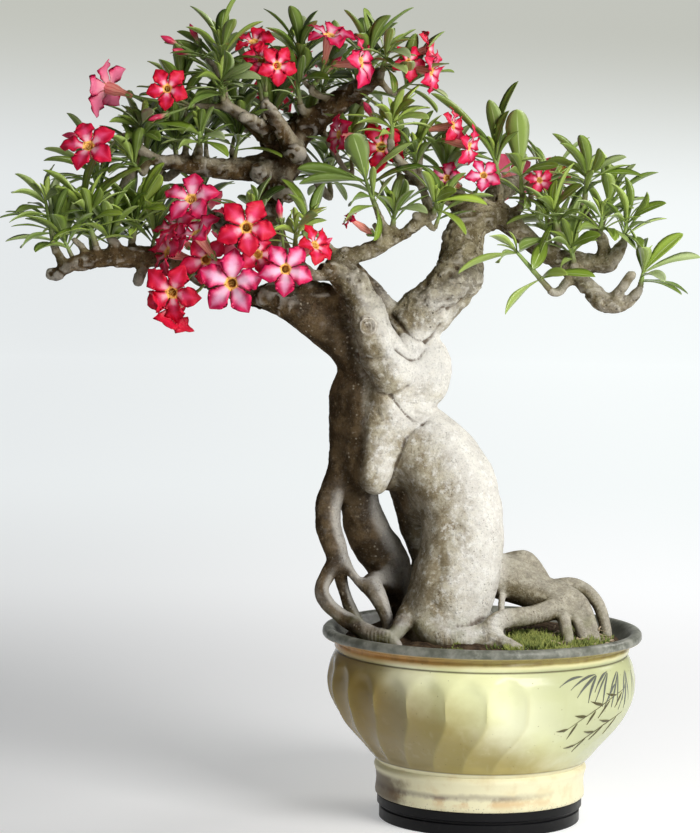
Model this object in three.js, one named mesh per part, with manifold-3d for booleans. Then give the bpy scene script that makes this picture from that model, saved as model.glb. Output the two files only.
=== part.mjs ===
// A desert rose (an adenium trained as a bonsai) in a glazed pot on a round stand.
// Millimetres, +Z up, +X right and +Y away from the viewer. The origin is the centre of the
// stand's underside. The trunk, its roots and its woody branches are one piece; each leafy shoot
// and each spray of blooms is a piece of its own, seated on the flat end of a woody twig.
import * as THREE from 'three';
import { mergeVertices } from 'three/addons/utils/BufferGeometryUtils.js';
import Module from 'manifold-3d';

const wasm = await Module();
wasm.setup();

// Driving dimensions
const CLEARANCE = 0.3;
const ROOT_GAP = 0.7;
const TWIG_GAP = 0.7;
const STAND_RADIUS = 97;
const STAND_HEIGHT = 23;
const RIM_RADIUS = 151;
const RIM_TOP = 182;
const FLUTES = 24;
const FLUTE_DEPTH = 2.4;
const FLUTE_SWEEP = THREE.MathUtils.degToRad(11);
const DRAIN_RADIUS = 12;
const FOOT_RECESS_RADIUS = 84;
const FOOT_RECESS_TOP = 27;
const SOIL_TOP = 171;
const WALL_FACETS = 18;
const STAND_FACETS = 24;
const LEAF_LENGTH = 50;
const LEAF_THICKNESS = 1.4;
const LEAF_BOW = 0.08;
const BROAD_LEAF = 12;
const SHOOT_RADIUS = 3.6;
const SHOOT_TWIG_RADIUS = 4.2;
const SPRAY_TWIG_RADIUS = 3.2;
const STALK_RADIUS = 1.3;
const THICK_LIMB = 15;
const MIDDLING_LIMB = 9;
const WOOD_TOLERANCE = 1.3;
const GREEN_TOLERANCE = 0.55;
const SOIL_TOLERANCE = 0.2;
const BLOOM_TUBE = 27;
const BUD_LENGTH = 22;
const GOLDEN_ANGLE = THREE.MathUtils.degToRad(137.5);
const VIEW = new THREE.Vector3(0, 1, 0);
const UP = new THREE.Vector3(0, 0, 1);

// The stand's outline, [radius, height]: two tiers with a groove between them.
const STAND_OUTLINE = [
  [0, 0], [95, 0], [95, 11], [93.5, 12.5], [STAND_RADIUS, 14], [STAND_RADIUS, STAND_HEIGHT],
  [0, STAND_HEIGHT],
];

// The pot's outside, [height, radius, share of the flute depth].
const POT_OUTSIDE = [
  [STAND_HEIGHT, 99, 0], [51, 100, 0], [55, 98, 0], [72, 112.5, 1], [95, 132.5, 1],
  [120, 144.5, 1], [147, 143.5, 0.8], [159, 138, 0], [169, 138.5, 0], [173, 149.5, 0],
  [178, RIM_RADIUS, 0], [RIM_TOP, 147.5, 0],
];
// The pot's inside, [radius, height], from the axis out and up past the rim.
const POT_INSIDE = [
  [0, 35], [89, 35], [91, 57], [104, 74], [123, 96], [136, 124], [135, 147],
  [130.5, 160], [131, 170], [138.5, 184], [0, 184],
];
// The soil's outline, [radius, height]: inside the pot's wall, with a low mound round the trunk.
const SOIL_OUTLINE = [
  [0, 35.4], [87.6, 35.4], [89.6, 57.4], [102.6, 74.4], [121.4, 96.4], [134.2, 124], [133.2, 146.6],
  [128.6, 159.6], [129, SOIL_TOP - 3], [90, SOIL_TOP + 1], [0, SOIL_TOP + 5],
];

// Roots, trunk and limbs: [x, y, z, radius] along each one's middle line, from the base outwards.
const ROOTS = {
  frontLeg: [
    [-36, -24, 146, 34], [-35, -28, 173, 39.5], [-32, -30, 207, 40.5], [-26, -30, 238, 41],
    [-21, -27, 270, 38.5], [-23, -21, 300, 38.5], [-36, -13, 329, 40.5], [-58, -5, 353, 36.5],
    [-78, 2, 373, 31],
  ],
  backLeg: [
    [-22, 54, 138, 17.5], [-27, 54, 171, 20], [-35, 54, 207, 19], [-49, 50, 246, 18],
    [-62, 42, 278, 18], [-71, 34, 308, 19], [-84, 22, 342, 23],
  ],
  middleLeg: [
    [-70, 44, 138, 13.5], [-73, 44, 166, 16.5], [-80, 42, 201, 18], [-91, 36, 235, 21],
    [-105, 28, 262, 21], [-115, 22, 285, 20], [-120, 18, 310, 19], [-121, 16, 342, 19],
  ],
  leftRoot: [
    [-134, -14, 240, 8.5], [-140, -12, 257, 10.5], [-147, -8, 278, 12], [-147, -4, 296, 12],
    [-140, 2, 316, 13], [-131, 8, 336, 15],
  ],
  leftLoop: [
    [-104, -46, 156, 5.5], [-113, -41, 178, 6.5], [-128, -36, 192, 7], [-144, -32, 204, 7],
    [-152, -26, 217, 7], [-148, -20, 230, 7.5], [-137, -14, 246, 8.5],
  ],
  leftStrand: [
    [-104, -22, 152, 5.5], [-112, -18, 176, 6.5], [-120, -10, 190, 7], [-128, -4, 206, 6.5],
    [-134, -6, 226, 6.5], [-135, -12, 245, 7.5],
  ],
  leftLink: [
    [-133, -12, 245, 6.5], [-124, -14, 233, 4.5], [-115, -16, 223, 4.5], [-104, -16, 215, 5.5],
  ],
  kneeRoot: [
    [-85, -30, 154, 5], [-88, -30, 180, 6], [-92, -28, 197, 7], [-98, -24, 211, 9],
    [-105, -12, 222, 10.5], [-99, 6, 224, 10.5], [-87, 30, 214, 11.5],
  ],
  rimRoot: [
    [-74, -78, 156, 4.5], [-80, -76, 172, 5.5], [-90, -70, 181, 7], [-103, -62, 182, 7.5],
    [-115, -50, 187, 7.5], [-126, -36, 191, 7], [-136, -22, 192, 5.5],
  ],
  heelRoot: [
    [-93, -66, 156, 4.5], [-89, -64, 175, 6.5], [-81, -58, 186, 7.5], [-73, -44, 196, 9.5],
    [-64, -20, 209, 11.5],
  ],
  toeRoot: [
    [-60, -44, 202, 11], [-53, -62, 187, 10], [-38, -72, 182, 11], [-21, -75, 180, 12],
    [-5, -70, 184, 11], [7, -54, 190, 9.5],
  ],
  rightRoot: [
    [-14, 6, 239, 22.5], [17, 8, 229, 21], [37, 4, 221, 19], [58, -6, 213, 16], [72, -16, 205, 12],
  ],
  rightKnob: [[12, 20, 227, 13.5], [32, 20, 238, 14.5], [44, 20, 236, 13.5], [55, 10, 222, 11.5]],
  fingerA: [
    [81, -64, 154, 4.5], [79, -60, 172, 5.5], [76, -50, 189, 6], [72, -30, 203, 7], [61, -8, 211, 9.5],
  ],
  fingerB: [
    [111, -46, 155, 4.5], [103, -40, 179, 6], [97, -26, 194, 8.5], [88, -12, 207, 12],
    [73, -2, 215, 13], [54, 2, 218, 13],
  ],
  fingerC: [[101, -52, 156, 4], [92, -42, 185, 5.5], [83, -26, 199, 6.5], [69, -10, 208, 7.5]],
  fingerD: [
    [119, -8, 153, 4.5], [118, -4, 174, 5.5], [115, 2, 190, 6], [110, 8, 204, 6.5], [100, 14, 215, 7],
    [86, 18, 221, 7.5], [66, 14, 218, 8.5],
  ],
  frontRoot: [
    [5, -78, 158, 8.5], [5, -76, 187, 10], [12, -70, 197, 10], [25, -60, 199, 9.5], [45, -46, 200, 9.5],
    [64, -30, 204, 9.5], [80, -12, 212, 9.5],
  ],
  frontSpread: [[50, -98, 163, 3.5], [31, -94, 175, 5.5], [17, -86, 180, 7.5], [4, -72, 186, 9]],
  pegRoot: [[18, -44, 172, 3], [17, -40, 198, 3.5], [17, -22, 207, 3.5], [19, 0, 217, 4]],
  backRoot: [[20, 96, 152, 6], [8, 84, 176, 8.5], [-8, 66, 196, 12], [-24, 44, 222, 16]],
  backSpread: [[-86, 92, 152, 6], [-78, 80, 178, 8.5], [-66, 62, 200, 11], [-52, 42, 228, 15]],
};
const TRUNK = {
  leftLobe: [
    [-108, 10, 433, 20.5], [-121, 12, 409, 22.5], [-127, 13, 383, 20], [-127, 15, 354, 19],
    [-125, 16, 328, 18], [-121, 18, 309, 14],
  ],
  centreLobe: [
    [-93, -2, 423, 25.5], [-89, -8, 399, 26.5], [-94, -14, 375, 23.5], [-100, -19, 352, 18.5],
    [-103, -21, 332, 16], [-103, -20, 318, 11],
  ],
  backLobe: [
    [-89, 18, 421, 26.5], [-84, 26, 390, 30.5], [-78, 26, 360, 31.5], [-62, 22, 330, 32.5],
    [-45, 14, 301, 32],
  ],
  rightBulge: [
    [-79, 2, 402, 20.5], [-60, 4, 410, 19], [-53, 6, 428, 18], [-58, 4, 446, 15], [-66, 0, 461, 13],
  ],
};
const LIMBS = {
  leftLimb: [
    [-92, 10, 403, 23.5], [-111, 10, 427, 23.5], [-133, 8, 450, 21.5], [-159, 4, 470, 19.5],
    [-184, 0, 485, 17], [-202, -4, 493, 13], [-212, -8, 490, 9.5],
  ],
  frontLimb: [
    [-89, -16, 401, 17], [-85, -24, 423, 20.5], [-97, -28, 445, 19.5], [-108, -28, 466, 18.5],
    [-118, -24, 490, 17], [-131, -20, 510, 15], [-145, -18, 522, 12],
  ],
  forkLimb: [[-114, 4, 450, 14], [-134, -2, 478, 14], [-150, -4, 493, 13.5], [-172, -4, 499, 10.5]],
  behindLimb: [[-78, 12, 461, 14], [-97, 12, 482, 12.5], [-118, 10, 504, 11.5], [-133, 2, 523, 9.5]],
  rightLimb: [
    [-82, 8, 451, 16], [-67, 6, 477, 20.5], [-45, 8, 492, 24.5], [-28, 14, 513, 23.5],
    [-23, 22, 537, 21], [-19, 28, 559, 20], [-4, 34, 573, 18],
  ],
  risingLimb: [
    [-148, 16, 464, 16], [-172, 30, 488, 16], [-192, 42, 515, 14.5], [-202, 50, 545, 12.5],
    [-206, 54, 574, 12.5], [-201, 56, 598, 15], [-194, 56, 621, 18], [-188, 52, 640, 14.5],
  ],
  lowLeftLimb: [
    [-190, 2, 487, 13], [-212, 4, 490, 11.5], [-240, 2, 499, 10.5], [-272, -8, 514, 10.5],
    [-299, -20, 527, 10], [-325, -30, 529, 11], [-350, -38, 527, 10], [-372, -44, 524, 8.5],
    [-388, -48, 520, 6.5], [-400, -50, 512, 5],
  ],
  highLeftLimb: [
    [-194, 52, 612, 14.5], [-218, 44, 612, 13.5], [-245, 36, 611, 11.5], [-269, 26, 613, 10],
    [-293, 14, 615, 8.5], [-311, 0, 618, 6.5], [-327, -10, 627, 5],
  ],
  crownRightLimb: [
    [-194, 52, 629, 16], [-175, 44, 650, 14], [-153, 34, 667, 13], [-132, 24, 682, 11.5],
    [-117, 14, 690, 8.5], [-106, 6, 697, 5.5],
  ],
  crownLeftLimb: [
    [-192, 52, 627, 15], [-209, 34, 642, 11.5], [-222, 18, 653, 8.5], [-235, 6, 662, 6.5],
    [-247, -4, 669, 5.5],
  ],
  crownKnob: [
    [-190, 46, 633, 11.5], [-188, 24, 633, 10.5], [-194, 10, 646, 9], [-203, 0, 661, 7.5],
    [-212, -8, 674, 5.5],
  ],
  crownBackLimb: [
    [-192, 56, 627, 14.5], [-185, 90, 646, 11.5], [-176, 116, 664, 9.5], [-165, 136, 680, 8],
  ],
  scarStub: [[-131, -18, 511, 11], [-145, -32, 518, 9.5], [-157, -39, 519, 8]],
  bloomStub: [[-146, -32, 517, 6.5], [-161, -48, 515, 6], [-173, -58, 521, 5.5], [-178, -62, 531, 4]],
  wristLimb: [
    [-141, -14, 516, 10.5], [-137, -12, 529, 9.5], [-124, -10, 533, 8.5], [-109, -8, 538, 8],
    [-93, -6, 546, 7.5], [-78, -4, 554, 7], [-65, -2, 565, 6.5], [-57, 0, 576, 5.5], [-62, 8, 592, 5],
    [-68, 12, 606, 4],
  ],
  rightFarLimb: [
    [-9, 30, 566, 16], [12, 34, 570, 14], [29, 30, 557, 10.5], [46, 24, 542, 9.5], [64, 18, 531, 8.5],
    [83, 12, 528, 9.5], [98, 6, 527, 9],
  ],
  farCup: [[94, 8, 528, 8.5], [105, 2, 525, 8.5], [115, -4, 529, 8], [122, -8, 542, 6]],
  farCupLeft: [[103, 4, 523, 7.5], [108, 2, 538, 6.5], [106, 0, 550, 5.5]],
  lowFarLimb: [
    [66, 16, 529, 7.5], [81, 4, 516, 7.5], [95, -8, 504, 9.5], [105, -14, 494, 10.5],
    [116, -18, 489, 8.5], [128, -20, 491, 6.5], [137, -22, 500, 5],
  ],
  lowFarStub: [[115, -18, 492, 6.5], [124, -24, 506, 5.5], [134, -28, 521, 4.5]],
  rightBackLimb: [[-9, 36, 567, 13.5], [9, 66, 588, 10.5], [27, 92, 599, 8.5], [47, 108, 605, 7]],
  leftBackLimb: [
    [-177, 34, 497, 13.5], [-207, 76, 521, 11.5], [-237, 104, 543, 9.5], [-262, 124, 562, 7],
  ],
  middleBackLimb: [[-18, 30, 562, 14], [-28, 60, 584, 11.5], [-50, 88, 600, 9.5], [-76, 108, 603, 7]],
};

// Leafy shoots: the foot of the green stem, its top, and the leaf tips, each as [x, z] from the top,
// the side it leans to (-1 towards the viewer, 0 across, 1 away) and its width as seen.
// A shoot at the back has a leaf count instead, and its leaves stand round it at the golden angle.
const SHOOTS = {
  left_fan: [[-365, -44, 540], [-374, -50, 570], [
    [-39, 38, -1, 8], [-26, 23, -1, 9], [-8, 8, -1, 11], [1, 33, 1, 7], [16, 23, -1, 10],
    [31, 33, 1, 8], [51, 41, -1, 7], [36, -1, -1, 6], [4, 57, 1, 10],
  ]],
  left_outer: [[-403, -50, 541], [-410, -54, 577], [
    [-29, 27, 0, 8], [-27, 10, -1, 8], [-29, -10, 0, 6], [-31, -17, -1, 6], [-19, -40, -1, 5],
    [5, 36, 1, 6], [15, 11, -1, 7],
  ]],
  left_back: [[-364, 16, 584], [-373, 12, 606], [
    [-46, 21, 1, 8], [-44, 10, -1, 7], [-25, 55, 1, 8], [-30, 28, 1, 8], [24, 21, -1, 9],
  ]],
  left_inner: [[-332, -24, 544], [-326, -26, 572], [
    [24, 44, -1, 11], [21, 33, -1, 15], [8, 10, -1, 13], [27, 1, -1, 7], [-18, 18, 1, 8],
    [10, 30, 1, 9],
  ]],
  left_upper: [[-327, 0, 636], [-324, 0, 650], [
    [-11, 15, 0, 8], [-23, 10, 1, 8], [-30, 3, -1, 9], [50, -5, -1, 7], [6, 9, -1, 10],
    [-15, -15, -1, 11], [18, -14, -1, 10],
  ]],
  top_left: [[-253, 30, 683], [-256, 28, 711], [
    [-8, 39, 0, 11], [-40, 28, 1, 8], [-51, 17, -1, 10], [-19, 27, -1, 9], [15, 37, 0, 6],
    [-19, -1, -1, 11], [-27, -10, -1, 8],
  ]],
  top_low_left: [[-250, -6, 676], [-252, -10, 692], [
    [6, 27, -1, 13], [-21, 2, -1, 8], [-25, -14, 0, 7], [-29, -27, -1, 7], [30, 15, -1, 11],
    [38, 2, -1, 8],
  ]],
  top_middle: [[-215, 50, 676], [-221, 52, 706], [
    [5, 41, 1, 9], [-16, 30, 1, 9], [14, 23, -1, 8], [-10, 9, -1, 9], [25, 19, -1, 11],
  ]],
  top_right: [[-179, 24, 674], [-182, 20, 695], [
    [-15, 30, -1, 11], [-1, 54, 1, 9], [8, 30, -1, 13], [23, 19, 1, 8], [-27, 3, -1, 8], [31, 0, -1, 8],
  ]],
  top_inner: [[-158, 44, 680], [-155, 48, 697], [
    [20, 29, 1, 9], [11, 16, -1, 8], [25, 1, -1, 9], [-13, 19, 1, 8],
  ]],
  top_far: [[-102, 2, 705], [-98, 0, 720], [
    [7, 24, 0, 9], [26, 15, 1, 8], [21, -5, -1, 7], [18, -19, -1, 7], [6, -37, -1, 7], [-12, 26, 1, 8],
  ]],
  top_bright: [[-93, -20, 642], [-92, -22, 656], [
    [-9, 23, 1, 8], [20, 20, -1, 7], [-34, -2, -1, 7], [-17, 15, -1, 8], [35, 14, 1, 7], [33, 4, -1, 7],
    [-13, -15, -1, 7],
  ]],
  top_under: [[-272, 6, 632], [-272, 0, 645], [
    [-13, -2, -1, 7], [25, -7, -1, 7], [28, -23, -1, 7], [-18, -17, -1, 7],
  ]],
  front_sprig: [[-180, -66, 540], [-180, -68, 553], [
    [-3, 20, 1, 7], [21, 18, -1, 7], [-22, 2, -1, 6], [28, 12, 1, 7],
  ]],
  back_sprig: [[-221, -14, 549], [-220, -20, 569], [
    [-3, 28, 0, 7], [14, 32, 1, 8], [30, 26, -1, 7], [-17, 15, 1, 7],
  ]],
  middle_big: [[-104, -12, 571], [-116, -14, 602], [
    [-13, 43, -1, 25], [48, 72, -1, 8], [42, 35, -1, 7], [54, 14, -1, 7], [-64, 10, 0, 14],
    [-62, -4, -1, 12], [-19, -38, -1, 8], [-14, -23, -1, 8], [8, -55, -1, 7],
  ]],
  middle_low: [[-90, -8, 561], [-89, -10, 573], [
    [-16, 15, -1, 8], [-10, 28, 1, 7], [9, 31, -1, 11], [30, 0, -1, 7],
  ]],
  middle_bright: [[-52, -10, 573], [-50, -16, 583], [
    [-8, 16, 0, 8], [17, 11, -1, 11], [47, -2, -1, 8],
  ]],
  middle_upper: [[-69, 14, 614], [-69, 14, 626], [
    [-5, 12, -1, 17], [20, 18, 1, 8], [-21, -7, -1, 8], [13, 27, 1, 8],
  ]],
  right_first: [[10, 30, 604], [6, 28, 622], [
    [-7, 57, -1, 16], [21, 75, 1, 8], [-24, 33, -1, 9], [12, 47, -1, 8], [-46, 1, -1, 8],
    [-62, 62, -1, 9],
  ]],
  right_second: [[32, 24, 587], [30, 22, 608], [
    [-6, 62, -1, 25], [33, 10, -1, 9], [-14, 21, -1, 13], [-17, 1, -1, 8], [1, -30, -1, 8],
  ]],
  right_third: [[90, 14, 586], [92, 12, 607], [
    [-34, 41, -1, 8], [-28, 32, -1, 8], [-9, 40, -1, 13], [9, 27, -1, 12], [35, 20, -1, 8],
    [52, 2, -1, 7], [-36, 16, 1, 8],
  ]],
  right_fourth: [[64, -4, 558], [60, -6, 575], [
    [2, 30, 0, 9], [-20, 13, -1, 9], [24, 26, -1, 8], [-11, 26, 1, 7],
  ]],
  right_fifth: [[126, -6, 550], [129, -2, 565], [
    [-19, 38, -1, 8], [-3, 44, 0, 8], [16, 30, -1, 9], [34, 20, -1, 8], [-23, 6, -1, 7],
    [11, -22, -1, 7],
  ]],
  right_sixth: [[141, -24, 508], [143, -25, 520], [
    [36, 37, -1, 13], [6, 31, 1, 11], [-5, 25, -1, 13], [53, 15, -1, 8], [16, -6, -1, 6],
  ]],
  right_seventh: [[80, -2, 528], [77, -4, 542], [
    [24, 13, -1, 11], [-3, 34, 1, 8], [-26, 6, -1, 8], [-12, -22, -1, 8], [14, 5, 1, 9],
  ]],
  right_shoot: [[56, -14, 504], [25, -24, 538], [
    [-27, 15, -1, 9], [-54, -21, -1, 8], [-18, -9, -1, 8], [73, -22, -1, 8], [45, -19, -1, 8],
    [-10, -58, -1, 10],
  ]],
  right_low: [[57, 6, 546], [54, 4, 565], [
    [-27, -24, -1, 13], [-14, -43, -1, 15], [-25, -2, 1, 9],
  ]],
  right_inner: [[104, -4, 556], [105, -8, 570], [
    [-26, 16, -1, 7], [-12, 28, 1, 7], [-24, -13, -1, 12], [9, -20, -1, 7],
  ]],
  back_top_left: [[-240, 118, 657], [-249, 132, 675], 7],
  back_top: [[-156, 142, 690], [-145, 148, 704], 7],
  back_top_right: [[-130, 86, 676], [-120, 98, 692], 6],
  back_left_low: [[-270, 130, 570], [-278, 138, 587], 7],
  back_middle: [[-83, 114, 606], [-85, 122, 622], 7],
  back_right: [[52, 106, 596], [70, 122, 606], 6],
  back_left_high: [[-313, 66, 610], [-321, 76, 629], 5],
  back_right_low: [[67, 58, 539], [73, 68, 556], 6],
  back_centre: [[-150, 104, 591], [-152, 114, 610], 6],
};

// Sprays of blooms: where the stalk leaves the wood, each bloom's throat [x, y, z], the way it faces
// [x, y, z] and its radius, and the tips of the closed buds.
const SPRAYS = {
  blooms_left: [[-257, -20, 535], [
    [-276, -62, 583, -0.15, -0.8, 0.55, 28], [-297, -58, 534, -0.8, -0.45, 0.25, 28],
    [-292, -66, 486, -0.62, 0.35, -0.35, 34], [-270, -84, 552, -0.45, -0.3, 0.62, 26],
  ], []],
  blooms_front: [[-188, -70, 520], [
    [-224, -100, 559, 0.05, -1, 0.12, 30], [-237, -96, 508, -0.12, -1, -0.02, 32],
    [-188, -104, 522, 0.12, -1, 0.1, 27], [-162, -88, 543, 0.62, -0.62, 0.4, 22],
  ], [[-146, -76, 550], [-196, -70, 584]]],
  blooms_upper_left: [[-277, 0, 669], [
    [-358, 0, 685, -0.8, 0.45, 0.25, 31], [-300, -46, 684, 0.05, -1, 0.12, 22],
  ], [[-319, -22, 655]]],
  bloom_left_crown: [[-344, -14, 640], [[-371, -56, 630, -0.12, -0.82, 0.52, 28]], [[-398, -30, 640]]],
  blooms_top: [[-211, 18, 678], [
    [-222, -2, 729, -0.15, -0.55, 0.8, 22], [-200, -22, 707, 0.3, -0.9, 0.05, 21],
  ], []],
  blooms_top_right: [[-166, 8, 690], [
    [-152, -14, 735, 0.15, -0.45, 0.88, 27], [-123, -30, 711, 0.88, -0.4, 0.1, 27],
  ], [[-140, 4, 717]]],
  blooms_crown_right: [[-103, 14, 706], [
    [-60, 10, 725, 0.88, -0.2, 0.35, 22], [-57, -6, 704, 0.85, -0.42, -0.15, 22],
  ], []],
  bloom_middle: [[-86, 30, 619], [[-102, 6, 633, -0.05, -0.95, 0.2, 26]], [[-119, -6, 675]]],
  blooms_arch: [[-61, 26, 631], [
    [-36, 4, 654, 0.85, -0.42, 0.15, 21], [-21, -8, 635, 0.8, -0.45, -0.2, 21],
  ], []],
  blooms_right: [[-11, 36, 588], [
    [-6, -2, 608, 0.1, -0.9, 0.3, 18], [-40, 4, 605, -0.45, -0.8, 0.3, 18],
  ], []],
  bloom_far: [[40, 42, 592], [[47, 12, 604, 0.35, -0.9, 0.25, 16]], []],
  bloom_inner: [[-112, 34, 660], [[-141, 26, 644, -0.8, -0.5, 0.1, 22]], []],
  bloom_limb: [[-107, -9, 552], [[-130, -23, 566, -0.75, -0.4, 0.5, 11]], []],
  blooms_back_left: [[-263, 124, 552], [
    [-274, 160, 565, -0.3, 0.85, 0.35, 29], [-242, 152, 544, 0.35, 0.85, 0.1, 29],
  ], []],
  blooms_back_top: [[-194, 112, 667], [
    [-205, 150, 685, -0.2, 0.8, 0.5, 28], [-182, 156, 712, 0.1, 0.6, 0.75, 25],
  ], []],
  blooms_back_right: [[27, 114, 590], [
    [24, 148, 604, -0.1, 0.9, 0.35, 28], [67, 140, 607, 0.6, 0.7, 0.35, 25],
  ], []],
  buds_top: [[-268, 22, 714], [], [[-310, 10, 734], [-283, 16, 746], [-298, -4, 721]]],
};

const vector = ([x, y, z]) => new THREE.Vector3(x, y, z);

// A repeatable fraction between 0 and 1 for a whole number.
function scatter(seed) {
  const wave = Math.sin(seed * 12.9898) * 43758.5453;
  return wave - Math.floor(wave);
}

// A solid from shared points and triangles, turned the right way out if it is inside out.
function solidFrom(points, triangles) {
  let volume = 0;
  for (const [a, b, c] of triangles) {
    volume += points[a].dot(points[b].clone().cross(points[c]));
  }
  const faces = volume < 0 ? triangles.map(([a, b, c]) => [a, c, b]) : triangles;
  return new wasm.Manifold(new wasm.Mesh({
    numProp: 3,
    vertProperties: new Float32Array(points.flatMap((point) => point.toArray())),
    triVerts: new Uint32Array(faces.flat()),
  }));
}

// A solid from one of the standard geometries, with its seam closed.
function solidOf(geometry) {
  geometry.deleteAttribute('normal');
  geometry.deleteAttribute('uv');
  const merged = mergeVertices(geometry, 1e-4);
  const points = [];
  const position = merged.getAttribute('position');
  for (let i = 0; i < position.count; i += 1) {
    points.push(new THREE.Vector3().fromBufferAttribute(position, i));
  }
  const index = merged.getIndex().array;
  const triangles = [];
  for (let i = 0; i < index.length; i += 3) {
    const triangle = [index[i], index[i + 1], index[i + 2]];
    if (new Set(triangle).size === 3) {
      triangles.push(triangle);
    }
  }
  return solidFrom(points, triangles);
}

// Several solids joined in one, with the slivers that joining leaves taken out and any hollow
// that it seals filled.
function joined(pieces, tolerance) {
  const bodies = wasm.Manifold.union(pieces).asOriginal().simplify(tolerance).decompose();
  return bodies.reduce((largest, body) => (body.numTri() > largest.numTri() ? body : largest));
}

// A body of revolution about the vertical axis.
function turned(outline, segments) {
  const profile = outline.map(([radius, height]) => new THREE.Vector2(radius, height));
  return solidOf(new THREE.LatheGeometry(profile, segments).rotateX(Math.PI / 2));
}

// Rings of the same number of points joined into a tube with flat ends.
function skin(rings) {
  const count = rings[0].length;
  const triangles = [];
  for (let i = 0; i + 1 < rings.length; i += 1) {
    for (let j = 0; j < count; j += 1) {
      const a = i * count + j;
      const b = i * count + (j + 1) % count;
      triangles.push([a, b, b + count], [a, b + count, a + count]);
    }
  }
  const last = (rings.length - 1) * count;
  for (let j = 1; j + 1 < count; j += 1) {
    triangles.push([0, j + 1, j], [last, last + j, last + j + 1]);
  }
  return solidFrom(rings.flat(), triangles);
}

// A round tube along a curve, its radius a function of the share of the way along.
function tube(curve, radiusAt, sides, steps) {
  const frames = curve.computeFrenetFrames(steps, false);
  const rings = [];
  for (let i = 0; i <= steps; i += 1) {
    const centre = curve.getPointAt(i / steps);
    const radius = radiusAt(curve.getUtoTmapping(i / steps));
    const ring = [];
    for (let j = 0; j < sides; j += 1) {
      const angle = 2 * Math.PI * j / sides;
      ring.push(centre.clone()
        .addScaledVector(frames.normals[i], radius * Math.cos(angle))
        .addScaledVector(frames.binormals[i], radius * Math.sin(angle)));
    }
    rings.push(ring);
  }
  return skin(rings);
}

// A root or limb through [x, y, z, radius] stations; grown makes it that much fatter and longer.
function limb(stations, grown = 0) {
  const points = stations.map(vector);
  if (grown > 0) {
    const tail = points[0].clone().sub(points[1]).setLength(2 * grown);
    points[0] = points[0].clone().add(tail);
  }
  const curve = new THREE.CatmullRomCurve3(points, false, 'catmullrom', 0.5);
  const girths = new THREE.CatmullRomCurve3(
    stations.map((station) => new THREE.Vector3(station[3], 0, 0)), false, 'catmullrom', 0.5);
  const thickest = Math.max(...stations.map((station) => station[3]));
  const slimSides = thickest > MIDDLING_LIMB ? 6 : 5;
  const sides = thickest > THICK_LIMB ? 8 : slimSides;
  const steps = stations.length - (thickest > THICK_LIMB ? 1 : 2);
  return tube(curve, (t) => girths.getPoint(t).x + grown, sides, Math.max(steps, 3));
}

// A woody twig from the nearest limb to a foot point, ending square to the way it points.
function twig(foot, direction, radius, sides) {
  let start = null;
  let shortest = Infinity;
  for (const stations of Object.values(LIMBS)) {
    const curve = new THREE.CatmullRomCurve3(stations.map(vector), false, 'catmullrom', 0.5);
    for (const point of curve.getPoints(24)) {
      if (point.distanceTo(foot) < shortest) {
        shortest = point.distanceTo(foot);
        start = point;
      }
    }
  }
  const end = foot.clone().addScaledVector(direction, -TWIG_GAP);
  const reach = Math.max(shortest, 6);
  const curve = new THREE.CubicBezierCurve3(
    start,
    start.clone().lerp(end, 0.35),
    end.clone().addScaledVector(direction, -0.35 * reach),
    end);
  return tube(curve, (t) => radius * (1.25 - 0.25 * t), sides, shortest < 16 ? 1 : 2);
}

// A leaf blade: an egg-shaped, bowed solid with a keel under its rib, from its foot to its tip.
// A leaf that is seen broadside has one more station, which rounds its end.
const BROAD_STATIONS = [[0, 0.16], [0.42, 0.62], [0.72, 1], [0.92, 0.64]];
const SLIM_STATIONS = [[0, 0.16], [0.48, 0.72], [0.82, 0.98]];
function blade({ root: foot, tip, seenWidth, fullWidth: width }, { across, normal }, grown = 0) {
  const length = foot.distanceTo(tip);
  const stations = seenWidth >= BROAD_LEAF ? BROAD_STATIONS : SLIM_STATIONS;
  const points = [];
  for (const [t, share] of stations) {
    const half = share * width / 2 + grown;
    const bow = 4 * LEAF_BOW * length * t * (1 - t);
    const centre = foot.clone().lerp(tip, t).addScaledVector(normal, bow);
    points.push(
      centre.clone().addScaledVector(across, half).addScaledVector(normal, grown),
      centre.clone().addScaledVector(across, -half).addScaledVector(normal, grown),
      centre.clone().addScaledVector(normal, -LEAF_THICKNESS - grown));
  }
  points.push(tip.clone());
  const triangles = [[0, 1, 2]];
  const last = 3 * (stations.length - 1);
  for (let j = 0; j < 3; j += 1) {
    const next = (j + 1) % 3;
    for (let i = 0; i < last; i += 3) {
      triangles.push([i + next, i + j, i + 3 + j], [i + next, i + 3 + j, i + 3 + next]);
    }
    triangles.push([last + next, last + j, last + 3]);
  }
  return solidFrom(points, triangles);
}

// The sizes and aim of one leaf, from a listed tip.
function listedLeaf(foot, top, [x, z, side, seenWidth], seed) {
  const flatTip = new THREE.Vector3(top.x + x, 0, top.z + z);
  const stem = top.clone().sub(foot);
  const flatStem = new THREE.Vector3(stem.x, 0, stem.z);
  const reachAlong = flatTip.clone().sub(foot).dot(flatStem) / flatStem.lengthSq();
  const along = THREE.MathUtils.clamp(reachAlong, 0.25, 0.96);
  const root = foot.clone().addScaledVector(stem, along);
  const seen = Math.hypot(flatTip.x - root.x, flatTip.z - root.z);
  const length = Math.max(LEAF_LENGTH * (0.86 + 0.24 * scatter(seed)), seen);
  const depth = side * Math.max(Math.sqrt(Math.max(length ** 2 - seen ** 2, 0)), 0.12 * length);
  flatTip.y = root.y + depth;
  const fullWidth = Math.max(seenWidth, THREE.MathUtils.clamp(0.3 * length, 12, 18));
  return { root, tip: flatTip, seenWidth, fullWidth };
}

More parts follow.
